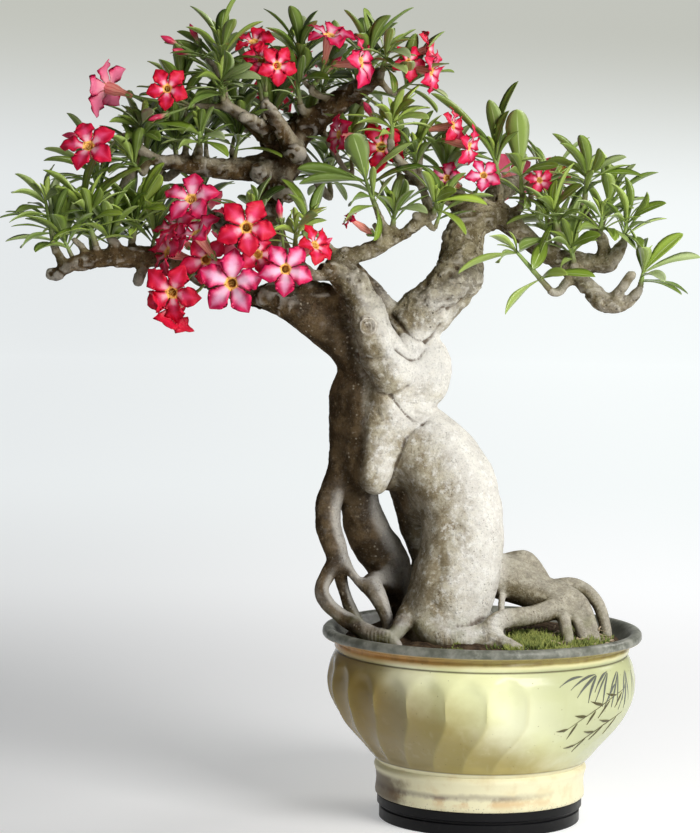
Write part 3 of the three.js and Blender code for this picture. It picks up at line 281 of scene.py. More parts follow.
# Sprays: root, blooms as [x, y, z of the throat, x, y, z of the way it faces, radius], tips of buds.
SPRAYS = {
    "blooms_left": [[-257, -20, 535], [
        [-276, -62, 583, -0.15, -0.8, 0.55, 28], [-297, -58, 534, -0.8, -0.45, 0.25, 28],
        [-292, -66, 486, -0.62, 0.35, -0.35, 34], [-270, -84, 552, -0.45, -0.3, 0.62, 26]], []],
    "blooms_front": [[-188, -70, 520], [
        [-224, -100, 559, 0.05, -1, 0.12, 30],
        [-237, -96, 508, -0.12, -1, -0.02, 32],
        [-188, -104, 522, 0.12, -1, 0.1, 27],
        [-162, -88, 543, 0.62, -0.62, 0.4, 22]], [[-146, -76, 550], [-196, -70, 584]]],
    "blooms_upper_left": [[-277, 0, 669], [
        [-358, 0, 685, -0.8, 0.45, 0.25, 31], [-300, -46, 684, 0.05, -1, 0.12, 22]], [[-319, -22, 655]]],
    "bloom_left_crown": [[-344, -14, 640], [[-371, -56, 630, -0.12, -0.82, 0.52, 28]], [[-398, -30, 640]]],
    "blooms_top": [[-211, 18, 678], [
        [-222, -2, 729, -0.15, -0.55, 0.8, 22], [-200, -22, 707, 0.3, -0.9, 0.05, 21]], []],
    "blooms_top_right": [[-166, 8, 690], [
        [-152, -14, 735, 0.15, -0.45, 0.88, 27], [-123, -30, 711, 0.88, -0.4, 0.1, 27]], [[-140, 4, 717]]],
    "blooms_crown_right": [[-103, 14, 706], [
        [-60, 10, 725, 0.88, -0.2, 0.35, 22], [-57, -6, 704, 0.85, -0.42, -0.15, 22]], []],
    "bloom_middle": [[-86, 30, 619], [[-102, 6, 633, -0.05, -0.95, 0.2, 26]], [[-119, -6, 675]]],
    "blooms_arch": [[-61, 26, 631], [
        [-36, 4, 654, 0.85, -0.42, 0.15, 21], [-21, -8, 635, 0.8, -0.45, -0.2, 21]], []],
    "blooms_right": [[-11, 36, 588], [
        [-6, -2, 608, 0.1, -0.9, 0.3, 18], [-40, 4, 605, -0.45, -0.8, 0.3, 18]], []],
    "bloom_far": [[40, 42, 592], [[47, 12, 604, 0.35, -0.9, 0.25, 16]], []],
    "bloom_inner": [[-112, 34, 660], [[-141, 26, 644, -0.8, -0.5, 0.1, 22]], []],
    "bloom_limb": [[-107, -9, 552], [[-130, -23, 566, -0.75, -0.4, 0.5, 11]], []],
    "blooms_back_left": [[-263, 124, 552], [
        [-274, 160, 565, -0.3, 0.85, 0.35, 29], [-242, 152, 544, 0.35, 0.85, 0.1, 29]], []],
    "blooms_back_top": [[-194, 112, 667], [
        [-205, 150, 685, -0.2, 0.8, 0.5, 28], [-182, 156, 712, 0.1, 0.6, 0.75, 25]], []],
    "blooms_back_right": [[27, 114, 590], [
        [24, 148, 604, -0.1, 0.9, 0.35, 28], [67, 140, 607, 0.6, 0.7, 0.35, 25]], []],
    "buds_top": [[-268, 22, 714], [], [[-310, 10, 734], [-283, 16, 746], [-298, -4, 721]]],
}
# Short cut stubs and knobs on the limbs, listed as the limbs are.
STUBS = {
    "cut_stub": [[-321, -34, 522, 6.5], [-324, -38, 512, 5.5], [-326, -40, 503, 5]],
    "low_knob": [[-346, -36, 534, 7], [-350, -42, 543, 5.5], [-352, -44, 548, 3.5]],
    "low_twig": [[-372, -42, 528, 4.5], [-378, -46, 538, 3.5], [-386, -48, 545, 3]],
    "end_curl": [[-394, -50, 514, 6.5], [-403, -50, 511, 7], [-408, -50, 516, 4.5]],
    "wrist_stub": [[-128, -11, 531, 6.5], [-137, -20, 536, 6.5]],
    "wrist_twig": [[-104, -10, 540, 5], [-103, -22, 552, 3.6], [-108, -30, 562, 3]],
    "arch_knob": [[-64, -4, 566, 5.5], [-70, -12, 571, 4.5]],
    "crown_stub_a": [[-206, 30, 640, 8], [-216, 6, 652, 7], [-232, -16, 660, 5.5]],
    "crown_stub_b": [[-186, 36, 634, 12], [-184, 14, 628, 10.5], [-180, 6, 624, 9]],
    "crown_lump_a": [[-212, 40, 612, 13], [-216, 26, 606, 11]],
    "crown_lump_b": [[-196, 40, 596, 13], [-190, 30, 588, 11]],
}
# Swellings that fill the trunk between its limbs and lobes.
SWELLS = {
    "neck_front": [[-75, -14, 441, 12], [-67, -15, 430, 14], [-65, -14, 414, 15], [-66, -10, 396, 15]],
    "fold_star": [[-86, -12, 404, 12], [-78, -10, 396, 13]],
    "neck": [[-84, 2, 425, 19], [-74, 2, 437, 18], [-66, 2, 448, 15]],
    "elbow": [[-105, -27, 447, 16], [-99, -26, 428, 17.5], [-88, -22, 414, 17]],
    "bulge": [[-60, -2, 408, 21], [-54, -2, 426, 19], [-55, 0, 440, 17]],
    "wrinkled_lump": [[-78, -8, 448, 11], [-69, -11, 452, 11.5], [-61, -7, 446, 11]],
    "limb_heel": [[-48, 2, 476, 17], [-57, -4, 465, 13.5]],
    "lobe_web": [[-112, 0, 410, 20], [-114, -1, 380, 20], [-115, -4, 350, 19], [-114, -6, 328, 15]],
    "lobe_base": [[-121, 4, 340, 13], [-113, -6, 324, 12], [-104, -10, 320, 10]],
    "thigh_web": [[-72, 0, 384, 21], [-82, -3, 360, 20], [-88, -3, 338, 17], [-89, -2, 322, 13]],
}
# More shoots where the crown is dense: foot, top and count of leaves.
FILL_SHOOTS = {
    "left_outer_low": [[-387, -44, 529], [-396, -47, 548], 13],
    "left_mid_low": [[-351, -30, 531], [-354, -30, 551], 14],
    "left_inner_low": [[-315, -16, 533], [-311, -14, 555], 14],
    "left_back_low": [[-371, -14, 534], [-375, -6, 558], 13],
    "limb_low_left": [[-294, 16, 622], [-296, 14, 640], 11],
    "limb_low_right": [[-240, 34, 622], [-236, 28, 642], 12],
    "crown_left_low": [[-277, 40, 628], [-270, 44, 649], 12],
    "middle_behind": [[-129, 46, 612], [-131, 52, 636], 12],
    "arch_behind": [[-42, 34, 590], [-40, 36, 618], 13],
    "arch_low": [[-50, 0, 560], [-44, -2, 578], 7],
    "right_behind": [[108, 24, 562], [116, 24, 586], 9],
    "top_left_high": [[-250, 0, 700], [-252, -6, 722], 11],
    "top_middle_high": [[-179, 14, 706], [-180, 12, 722], 11],
    "top_right_high": [[-118, 4, 706], [-113, 2, 722], 11],
    "crown_right_low": [[-86, 14, 686], [-72, 12, 696], 8],
    "limb_end": [[-327, -6, 608], [-334, -10, 616], 10],
    "wrist_low": [[-158, -16, 548], [-170, -20, 560], 6],
    "left_top_back": [[-286, 24, 660], [-292, 26, 684], 12],
    "limb_back_a": [[-297, 40, 628], [-301, 48, 650], 13],
    "limb_back_b": [[-268, 48, 630], [-269, 58, 654], 13],
    "limb_back_c": [[-243, 50, 632], [-238, 58, 658], 13],
    "crown_back_a": [[-206, 56, 650], [-204, 64, 676], 13],
    "crown_back_b": [[-176, 58, 629], [-170, 66, 652], 13],
    "limb_end_low": [[-320, 24, 606], [-330, 30, 626], 12],
    "left_back_mid": [[-336, -6, 536], [-335, 2, 560], 13],
}
# Holes at the ends of cut limbs: middle and radius.
HOLES = [([-217, 0, 486], 5.5), ([-158, -41, 519], 5.0), ([-406, -57, 513], 3.5), ([-141, -24, 537], 3.2)]
# Leaves added to each shoot: small young ones at its tip, and more round it where the crown is dense.
YOUNG_LEAVES = 4
FILL_LEAVES = 10
FULLNESS = {
    "right_first": 6, "right_second": 5, "right_third": 8, "right_fifth": 6, "right_sixth": 3,
    "right_seventh": 9, "right_shoot": 1, "right_low": 2, "middle_big": 3, "middle_bright": 5,
    "middle_low": 7, "front_sprig": 6, "left_outer": 10, "left_fan": 14, "left_inner": 13,
}
# How lilac each bloom of a spray is, from 0, crimson, to 1.
BLOOM_TONES = {
    "blooms_left": [0.7, 0.4, 0.0, 0.6, 0.55, 0.35, 0.1], "blooms_front": [0.1, 0.95, 0.9, 0.0, 0.2],
    "blooms_upper_left": [0.85, 0.05], "bloom_left_crown": [0.25], "blooms_top": [0.0, 0.1, 0.2],
    "blooms_top_right": [0.55, 0.6], "blooms_crown_right": [0.1, 0.35, 0.2], "bloom_middle": [0.0],
    "blooms_right": [0.8, 0.7],
}
# More blooms of some sprays, where the solids have fewer, listed as in the sprays.
MORE_BLOOMS = {
    "blooms_left": [
        [-292, -52, 556, -0.5, -0.55, 0.66, 25], [-262, -66, 528, 0.1, -0.9, -0.2, 25],
        [-292, -78, 498, -0.25, -0.95, -0.2, 30],
    ],
    "blooms_front": [[-214, -84, 534, 0.35, -0.8, 0.3, 24]],
    "blooms_top": [[-214, -16, 712, 0.1, -0.95, 0.3, 20]],
    "blooms_crown_right": [[-78, -4, 712, 0.5, -0.8, 0.2, 19]],
}

# How far a leaf's tip was bent, or a bloom brought forward, to pass clear of the others.
BENDS = [
    [0, 0, 0], [0, -9, 0], [0, 9, 0], [0, -18, 0], [0, 18, 0], [7, 0, 4], [-7, 0, 4], [7, -12, -4],
    [-7, -12, -4], [0, -28, 6], [0, 28, 6], [12, 12, 8], [-12, 12, 8],
]
SHIFTS = [0, 5, 10, 15, 20, -5]

# How near a corner of a solid has to be to a spot to be the same place.
SAME_PLACE = 2.4

# The waves whose far digits serve as repeatable chance.
CHANCE_WAVES = (12.9898, 78.233, 37.719)
SEED_WAVE = 4.1414
CHANCE_GAIN = 43758.5453


def unit(vector):
    """A vector, or each row of vectors, at length 1."""
    return vector / np.linalg.norm(vector, axis=-1, keepdims=True)


def square_to(stem):
    """Two directions square to a stem and to each other, the first one square to the view too."""
    first = unit(np.cross(stem, VIEW))
    return first, np.cross(stem, first)


def spoke(first, second, turn):
    """The direction at an angle from the first of two directions towards the second."""
    return first * math.cos(turn) + second * math.sin(turn)


def even_turns(count):
    """Angles at even steps all the way round."""
    return 2 * np.pi * np.arange(count) / count


def scatter(seed):
    """A repeatable fraction between 0 and 1 for a whole number."""
    wave = math.sin(seed * CHANCE_WAVES[0]) * CHANCE_GAIN
    return wave - math.floor(wave)


def smooth(low, high, value):
    """0 below low, 1 above high, and 3t^2 - 2t^3 of the share t of the way between them."""
    share = np.clip((value - low) / (high - low), 0, 1)
    return share * share * (3 - 2 * share)


def spline(stations, shares):
    """Points at shares of the way along a smooth curve through the stations: a cubic in each span,
    whose slopes at its ends are half the step between the neighbours on either side."""
    s = np.asarray(stations, float)
    knots = np.vstack([2 * s[0] - s[1], s, 2 * s[-1] - s[-2]])
    place = np.asarray(shares) * (len(s) - 1)
    span = np.minimum(place.astype(int), len(s) - 2)
    w = (place - span)[:, None]
    a, b, c, d = (knots[span + k] for k in range(4))
    first, last = 0.5 * (c - a), 0.5 * (d - b)
    bend = 3 * c - 3 * b - 2 * first - last
    return b + first * w + bend * w**2 + (2 * b - 2 * c + first + last) * w**3


def arc(start, near_start, near_end, end, shares):
    """Points of the cubic with those two ends, drawn towards the two points between them."""
    t = np.asarray(shares)[:, None]
    s = 1 - t
    return s**3 * start + 3 * s**2 * t * near_start + 3 * s * t**2 * near_end + t**3 * end


def noise(points, size, seed):
    """Smooth noise from -1 to 1: a repeatable value at each corner of cubes of a size, blended over
    each cube by 3t^2 - 2t^3 of the place in it."""
    place = np.asarray(points) / size
    cell = np.floor(place)
    share = place - cell
    share = share * share * (3 - 2 * share)
    total = np.zeros(len(place))
    for corner in itertools.product((0, 1), repeat=3):
        wave = np.sin((cell + corner) @ CHANCE_WAVES + SEED_WAVE * seed) * CHANCE_GAIN
        weight = np.prod(np.where(corner, share, 1 - share), axis=1)
        total += weight * (wave - np.floor(wave))
    return 2 * total - 1


def sheet_faces(rows, columns, ring=False):
    """Quads between the neighbouring points of a grid, its columns joined in a ring or not."""
    i, j = np.meshgrid(np.arange(rows - 1), np.arange(columns if ring else columns - 1), indexing="ij")
    k = (j + 1) % columns
    corners = (i * columns + j, i * columns + k, (i + 1) * columns + k, (i + 1) * columns + j)
    return np.stack(corners, -1).reshape(-1, 4)


class Shape:
    """What one Blender mesh is made of: points, faces, finishes and what they carry."""

    def __init__(self):
        self.points = []
        self.faces = []
        self.finish = []
        self.facts = {}
        self.count = 0

    def add(self, points, faces, finish=0, **facts):
        """Adds points, their faces, the number of their finish and a value or array of each fact."""
        self.points.append(points)
        self.faces.extend((face + self.count).tolist() for face in faces)
        self.finish.extend([finish] * sum(len(face) for face in faces))
        for name in set(facts) | set(self.facts):
            stored = self.facts.setdefault(name, [np.zeros(self.count)])
            stored.append(np.broadcast_to(facts.get(name, 0.0), len(points)).astype(float))
        self.count += len(points)

    def tubes(self, rings, finish=0, **facts):
        """Adds closed skins over rings[item, row, column], each end closed to its middle point. A
        fact is a value, or an array over items, rows and columns."""
        items, rows, columns, _ = rings.shape
        ends = np.concatenate([rings[:, :1].mean(2), rings[:, -1:].mean(2)], 1)
        points = np.concatenate([rings.reshape(items, -1, 3), ends], 1)
        step = rows * columns + 2
        side = sheet_faces(rows, columns, ring=True)
        j = np.arange(columns)
        k = (j + 1) % columns
        last = (rows - 1) * columns
        low = np.stack([k, j, np.full(columns, rows * columns)], 1)
        high = np.stack([last + j, last + k, np.full(columns, rows * columns + 1)], 1)
        offsets = (np.arange(items) * step)[:, None, None]
        spread = {}
        for name, value in facts.items():
            value = np.broadcast_to(np.asarray(value, float), (items, rows, columns))
            tips = np.stack([value[:, 0].mean(1), value[:, -1].mean(1)], 1)
            spread[name] = np.concatenate([value.reshape(items, -1), tips], 1).ravel()
        faces = [(part[None] + offsets).reshape(-1, part.shape[1]) for part in (side, low, high)]
        self.add(points.reshape(-1, 3), faces, finish, **spread)

    def make(self, name, finishes, nodes=(), sharp=None):
        """Makes the mesh and its object, which rides on the one body and stands for CAD nodes."""
        mesh = bpy.data.meshes.new(name)
        flat = list(itertools.chain.from_iterable(self.faces))
        mesh.from_pydata(np.concatenate(self.points) * MM, [], flat)
        mesh.polygons.foreach_set("material_index", self.finish)
        mesh.polygons.foreach_set("use_smooth", [True] * len(flat))
        corners = np.empty(len(mesh.loops), int)
        mesh.loops.foreach_get("vertex_index", corners)
        facts = {key: np.concatenate(value) for key, value in self.facts.items()}
        if "across" in facts:
            layer = mesh.uv_layers.new(name="along")
            strip = np.stack([facts["across"], facts["along"]], 1)
            layer.uv.foreach_set("vector", strip[corners].ravel())
        for key in sorted(facts):
            if key not in ("across", "along"):
                mesh.attributes.new(key, "FLOAT", "POINT").data.foreach_set("value", facts[key])
        for finish in finishes:
            mesh.materials.append(finish.material)
        if sharp is not None:
            mesh.set_sharp_from_angle(angle=math.radians(sharp))
        piece = add_object(name, mesh)
        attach(piece, "root")
        if nodes:
            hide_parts(*nodes)
        return piece


def add_object(name, data):
    """A new object in the scene."""
    made = bpy.data.objects.new(name, data)
    bpy.context.scene.collection.objects.link(made)
    return made


# Further from everything than any of the wood is, in millimetres.
FAR_AWAY = 1e3


class Wood:
    """How far each corner of a block of cubes is from the wood's skin, below 0 inside it, and how
    thick the nearest limb is there."""

    def __init__(self, low, high, step):
        self.low = np.asarray(low, float)
        self.step = step
        self.shape = np.ceil((np.asarray(high) - self.low) / step).astype(int) + 1
        self.depth = np.full(self.shape, FAR_AWAY, np.float32)
        self.girth = np.zeros(self.shape, np.float32)

    def window(self, low, high):
        """The part of the block between two corners, and its x, y and z."""
        first = np.clip(np.floor((low - self.low) / self.step).astype(int), 0, self.shape - 1)
        last = np.clip(np.ceil((high - self.low) / self.step).astype(int) + 1, first + 1, self.shape)
        axes = [self.low[k] + self.step * np.arange(first[k], last[k]) for k in range(3)]
        part = tuple(slice(start, stop) for start, stop in zip(first, last))
        return part, np.meshgrid(*axes, indexing="ij", sparse=True)

    def grow(self, points, radii, blend):
        """Adds a limb: the distance to a chain of cones through the points, joined to what is there
        by the smaller distance, less h^2 * blend / 4, where h is how nearly the two distances agree
        as a share of the blend."""
        margin = blend + 2 * self.step
        reach = radii.max() + margin
        whole, _ = self.window(points.min(0) - reach, points.max(0) + reach)
        own = np.full(self.depth[whole].shape, FAR_AWAY, np.float32)
        thick = np.zeros_like(own)
        for a, b, thick_a, thick_b in zip(points, points[1:], radii, radii[1:]):
            pad = max(thick_a, thick_b) + margin
            part, (x, y, z) = self.window(np.minimum(a, b) - pad, np.maximum(a, b) + pad)
            local = tuple(slice(p.start - w.start, p.stop - w.start) for p, w in zip(part, whole))
            run = b - a
            along = (x - a[0]) * run[0] + (y - a[1]) * run[1] + (z - a[2]) * run[2]
            along = np.clip(along / (run @ run), 0, 1)
            off_x = x - a[0] - along * run[0]
            off_y = y - a[1] - along * run[1]
            off_z = z - a[2] - along * run[2]
            radius = thick_a + along * (thick_b - thick_a)
            gap = np.sqrt(off_x**2 + off_y**2 + off_z**2) - radius
            closer = gap < own[local]
            own[local] = np.where(closer, gap, own[local])
            thick[local] = np.where(closer, radius, thick[local])
        old = self.depth[whole]
        agree = np.maximum(blend - np.abs(old - own), 0) / blend
        self.girth[whole] = np.where(own < old, thick, self.girth[whole])
        self.depth[whole] = np.minimum(old, own) - agree**2 * blend / 4

    def hollow(self, centre, radius):
        """Takes a ball out of the wood."""
        centre = np.asarray(centre, float)
        part, (x, y, z) = self.window(centre - radius - self.step, centre + radius + self.step)
        inside = radius - np.sqrt((x - centre[0])**2 + (y - centre[1])**2 + (z - centre[2])**2)
        self.depth[part] = np.maximum(self.depth[part], inside)

    def cut_level(self, height):
        """Takes away all that is below a height, and what touches the block's own sides."""
        level = self.low[2] + self.step * np.arange(self.shape[2])
        self.depth = np.maximum(self.depth, (height - level).astype(np.float32))
        for axis in range(3):
            sides = np.moveaxis(self.depth, axis, 0)
            sides[[0, -1]] = np.maximum(sides[[0, -1]], self.step)

    def skin(self):
        """Points and quads of the surface where the distance is 0: a point in each cube that it
        crosses, at the mean of the crossings of the cube's edges, and a quad round each such edge."""
        ids, places, quads = [], [], []
        for axis in range(3):
            near = np.moveaxis(self.depth, axis, 0)[:-1]
            far = np.moveaxis(self.depth, axis, 0)[1:]
            crossed = np.argwhere((near < 0) != (far < 0))
            a, b = near[tuple(crossed.T)], far[tuple(crossed.T)]
            edge = np.empty((len(crossed), 3), int)
            order = [axis] + [k for k in range(3) if k != axis]
            edge[:, order] = crossed
            place = edge.astype(float)
            place[:, axis] += a / (a - b)
            u, v = (axis + 1) % 3, (axis + 2) % 3
            ring = []
            for back_u, back_v in ((0, 0), (1, 0), (1, 1), (0, 1)):
                cell = edge.copy()
                cell[:, u] -= back_u
                cell[:, v] -= back_v
                ring.append(np.ravel_multi_index(cell.T, self.shape))
            ring = np.stack(ring, 1)
            ids.append(ring.ravel())
            places.append(np.repeat(place, 4, axis=0))
            quads.append(np.where((a < 0)[:, None], ring, ring[:, ::-1]))
        ids, places = np.concatenate(ids), np.concatenate(places)
        cells, number = np.unique(ids, return_inverse=True)
        share = np.bincount(number, minlength=len(cells))
        points = np.stack([np.bincount(number, places[:, k]) / share for k in range(3)], 1)
        faces = np.searchsorted(cells, np.concatenate(quads))
        girth = self.girth.ravel()[cells]
        return self.low + self.step * points, faces, girth


def relaxed(points, faces, rounds):
    """Points moved half way to the mean of their neighbours, for some rounds."""
    ends = np.concatenate([faces, np.roll(faces, 1, axis=1)], 1).reshape(-1, 2, 4)
    start, stop = ends[:, 0].ravel(), ends[:, 1].ravel()
    size = len(points)
    count = np.bincount(start, minlength=size) + np.bincount(stop, minlength=size)
    for _ in range(rounds):
        total = np.empty_like(points)
        for k in range(3):
            total[:, k] = np.bincount(start, points[stop, k], size)
            total[:, k] += np.bincount(stop, points[start, k], size)
        points = 0.5 * points + 0.5 * total / count[:, None]
    return points


def point_normals(points, faces):
    """The mean outward direction of the faces round each point."""
    first = points[faces[:, 2]] - points[faces[:, 0]]
    second = points[faces[:, 3]] - points[faces[:, 1]]
    outward = np.cross(first, second)
    total = np.zeros_like(points)
    for k in range(3):
        for corner in range(4):
            total[:, k] += np.bincount(faces[:, corner], outward[:, k], len(points))
    return unit(total)


def limb_path(stations, spacing):
    """Points and radii along a limb about so far apart, its ends drawn in, as they are rounded."""
    stations = np.asarray(stations, float)
    run = np.linalg.norm(np.diff(stations[:, :3], axis=0), axis=1).sum()
    path = spline(stations, np.linspace(0, 1, max(int(run / spacing), 3) + 1))
    points, radii = path[:, :3].copy(), path[:, 3]
    for end, inner in ((0, 1), (-1, -2)):
        step = points[inner] - points[end]
        points[end] += step * min(0.6 * radii[end] / np.linalg.norm(step), 0.9)
    return points, radii


def twig_path(foot, direction, radius):
    """Points and radii of the woody twig from the nearest limb to a foot, square to its way."""
    near = np.concatenate([spline(limb, np.linspace(0, 1, 25))[:, :3] for limb in LIMBS.values()])
    gaps = np.linalg.norm(near - foot, axis=1)
    start, shortest = near[gaps.argmin()], gaps.min()
    end = foot - direction * (TWIG_GAP + 0.6 * radius)
    back = end - 0.35 * max(shortest, 6) * direction
    shares = np.linspace(0, 1, 9)
    return arc(start, start + 0.35 * (end - start), back, end, shares), radius * (1.25 - 0.25 * shares)


def spray_direction(root, blooms, buds):
    """The way a spray points: from its root to the middle of its blooms' feet and buds' tips."""
    feet = [np.array(bloom[:3]) - BLOOM_TUBE * unit(np.array(bloom[3:6])) for bloom in blooms]
    return unit(np.mean(feet + [np.array(tip, float) for tip in buds], axis=0) - root)


# Folds and seams of the trunk as seen from the front: depth, width, and [x, z] along each.
CREASES = [
    (2.2, 1.7, [[-56, 380], [-69, 371], [-77, 362], [-81, 347], [-85, 334], [-90, 316]]),
    (2.8, 2.4, [[-115, 425], [-111, 414], [-103, 405], [-92, 402], [-80, 405], [-72, 411]]),
    (2.0, 2.2, [[-69, 437], [-76, 442], [-85, 447], [-89, 458], [-97, 475]]),
    (2.2, 2.0, [[-91, 401], [-80, 391], [-69, 380], [-60, 378]]),
    (1.0, 1.3, [[-90, 401], [-76, 396], [-62, 395], [-50, 397]]),
    (1.0, 1.3, [[-90, 400], [-74, 390], [-58, 386]]),
    (0.8, 1.2, [[-88, 402], [-74, 401], [-58, 404]]),
    (0.8, 1.2, [[-88, 399], [-74, 385], [-64, 380]]),
    (3.6, 2.4, [[-90, 476], [-85, 469], [-78, 463], [-67, 457], [-56, 453], [-46, 460], [-43, 466]]),
    (3.0, 2.2, [[-48, 481], [-42, 485], [-35, 482], [-28, 484], [-22, 490]]),
    (2.4, 2.2, [[-83, 447], [-69, 437], [-63, 438], [-57, 445], [-56, 454]]),
    (1.8, 4.5, [[-113, 421], [-115, 402], [-117, 386], [-119, 369], [-121, 352], [-124, 335]]),
    (2.2, 2.0, [[-124, 441], [-114, 437], [-104, 438], [-96, 440]]),
    (1.6, 5.0, [[-46, 253], [-44, 240], [-50, 225]]),
    (1.2, 2.4, [[-50, 214], [-42, 207], [-31, 205]]),
    (1.3, 1.8, [[-104, 388], [-98, 380], [-90, 378]]),
    (1.2, 1.6, [[-101, 366], [-95, 372], [-88, 371]]),
]
# Pleats where a root bends: middle, the way they follow each other, spacing, reach and depth.
PLEATS = [
    ([-20, -84, 182], [1.0, 0.0, 0.1], 4.4, 26, 0.9),
    ([8, -82, 190], [0.3, 0.1, 1.0], 4.6, 18, 0.8),
    ([45, -52, 200], [0.9, 0.4, 0.1], 4.2, 22, 0.7),
    ([-95, -72, 182], [0.9, -0.3, 0.0], 3.8, 16, 0.6),
    ([-69, -24, 450], [1.0, 0.0, 0.25], 3.0, 13, 1.0),
    ([-72, -20, 392], [0.3, 0.0, 1.0], 4.2, 15, 0.8),
    ([-80, -40, 428], [0.9, 0.0, 0.35], 3.4, 13, 0.5),
]
# Healed scars: middle, radius.
SCARS = [([-112, -46, 468], 9.0), ([-6, -58, 258], 4.0), ([96, -36, 190], 3.0)]
# The block of cubes that the wood is worked out in, and the side of a cube.
WOOD_LOW = [-412, -116, 132]
WOOD_HIGH = [154, 152, 752]
WOOD_STEP = 1.9
WOOD_TRIANGLES = 190000
# The wood ends at this height, inside the soil.
ROOT_FLOOR = 138
LIMB_SPACING = 5.0
# How thick the twigs of the shoots that have no solid are, as a share of the others'.
THIN_TWIG = 0.7
# Rounds of smoothing: of the skin itself, and to tell dents and folds from what lies round them.
SKIN_ROUNDS = 2
DENT_ROUNDS = 14
FOLD_ROUNDS = 60
# The way towards the key light: how squarely the bark faces it steers its painted highlight and painted
# shade.
KEY_LIGHT_WAY = np.array([0.72, -0.42, 0.55])


def crease_depth(points, normals, width, line):
    """How deep a fold is at each point: exp of minus the square of the distance from the line, seen
    from the front, over its width; none on what faces away."""
    flat = points[:, [0, 2]]
    nearest = np.full(len(points), FAR_AWAY)
    for a, b in zip(np.asarray(line, float), np.asarray(line[1:], float)):
        share = np.clip((flat - a) @ (b - a) / ((b - a) @ (b - a)), 0, 1)
        nearest = np.minimum(nearest, np.linalg.norm(flat - a - share[:, None] * (b - a), axis=1))
    return np.exp(-(nearest / width)**2) * smooth(0.25, -0.25, normals[:, 1]) * (points[:, 1] < 5)


def bark_relief(points, normals, girth):
    """How far the bark stands out at each point, and how much it lies on a scar's rings: lumps in
    three sizes that shrink with the limb, pits and cracks on the upper limbs, and the folds, pleats
    and scars listed above."""
    share = np.clip(girth / 16, 0.15, 1)
    height = share * (2.0 * noise(points, 36, 1) + 1.2 * noise(points, 15, 2) + 0.45 * noise(points, 6.5, 3))
    upper = smooth(450, 500, points[:, 2])
    height += upper * share * (2.4 * noise(points, 21, 6) - 1.9 * np.abs(noise(points, 10, 12)))
    height -= upper * np.clip(girth / 12, 0, 1) * 2.4 * smooth(0.25, 0.7, noise(points, 6, 4))
    height -= upper * share * 1.4 * smooth(0.16, 0.0, np.abs(noise(points * (1, 1, 1.6), 17, 11)))
    rings = np.sin(points[:, 2] * 1.1 + 2.5 * noise(points, 22, 5))
    height += 0.12 * share * rings * smooth(0.55, 0.2, np.abs(normals[:, 2]))
    for depth, width, line in CREASES:
        height -= depth * crease_depth(points, normals, width, line)
    for middle, way, spacing, reach, depth in PLEATS:
        off = points - np.asarray(middle, float)
        near = np.exp(-(np.linalg.norm(off, axis=1) / reach)**4)
        height -= depth * near * np.abs(np.cos(np.pi * (off @ unit(np.array(way))) / spacing))**6
    scar_rings = np.zeros(len(points))
    for middle, radius in SCARS:
        off = np.linalg.norm(points - np.asarray(middle, float), axis=1) / radius
        height += 0.20 * radius * (np.exp(-((off - 0.85) / 0.22)**2) - 0.9 * np.exp(-(off / 0.5)**2))
        scar_rings += smooth(1.15, 0.95, off) * (0.55 + 0.45 * np.cos(off * 15))
    return height, scar_rings


def make_tree():
    """Trunk, roots, limbs and twigs as one skin."""
    wood = Wood(WOOD_LOW, WOOD_HIGH, WOOD_STEP)
    for group, blend in ((ROOTS, 5.0), (TRUNK, 9.0), (LIMBS, 7.0), (SWELLS, 8.0), (STUBS, 3.0)):
        for stations in group.values():
            points, radii = limb_path(stations, LIMB_SPACING)
            wood.grow(points, radii, min(blend, 0.6 * radii.mean()))
    for name, (foot, top, _) in (SHOOTS | FILL_SHOOTS).items():
        way = unit(np.subtract(top, foot).astype(float))
        girth = SHOOT_TWIG_RADIUS * (1 if name in SHOOTS else THIN_TWIG)
        wood.grow(*twig_path(np.array(foot, float), way, girth), 3.0)
    for root, blooms, buds in SPRAYS.values():
        way = spray_direction(root, blooms, buds)
        wood.grow(*twig_path(np.array(root, float), way, SPRAY_TWIG_RADIUS), 2.5)
    for centre, radius in HOLES:
        wood.hollow(centre, radius)
    wood.cut_level(ROOT_FLOOR)
    points, faces, girth = wood.skin()
    points = relaxed(points, faces, SKIN_ROUNDS)
    normals = point_normals(points, faces)
    height, rings = bark_relief(points, normals, girth)
    points = points + normals * height[:, None]
    # How far each point lies in a dent and in a fold, and how squarely it faces the key light, for the
    # bark's painted shade and painted highlights.
    sunk = ((relaxed(points, faces, DENT_ROUNDS) - points) * normals).sum(1)
    broad = relaxed(points, faces, FOLD_ROUNDS)
    hidden = ((broad - points) * normals).sum(1)
    sunny = point_normals(broad, faces) @ unit(KEY_LIGHT_WAY)
    tree = Shape()
    tree.add(points, [faces], girth=girth, sunk=sunk, hidden=hidden, sunny=sunny, rings=rings)
    wood_piece = tree.make("wood", [bark], ["tree"])
    thinned = wood_piece.modifiers.new("thinned", "DECIMATE")
    thinned.ratio = WOOD_TRIANGLES / (2 * len(faces))
    return wood_piece


def round_rings(points, radii, columns):
    """Rings of points square to a line: each ring's first direction is square to one fixed axis, the
    one that the line runs least along."""
    points = np.asarray(points, float)
    ways = unit(np.gradient(points, axis=0))
    fixed = np.eye(3)[np.abs(points[-1] - points[0]).argmin()]
    first = unit(np.cross(ways, fixed))
    second = np.cross(ways, first)
    turn = even_turns(columns)
    spokes = first[:, None] * np.cos(turn)[:, None] + second[:, None] * np.sin(turn)[:, None]
    return points[:, None] + spokes * np.broadcast_to(radii, len(points))[:, None, None]


def lathe(profile, turns):
    """Rings of points round +Z from [radius, height] rows."""
    radius, height = np.asarray(profile, float).T
    level = np.broadcast_to(height[:, None], (len(radius), len(turns)))
    return np.stack([radius[:, None] * np.cos(turns), radius[:, None] * np.sin(turns), level], -1)


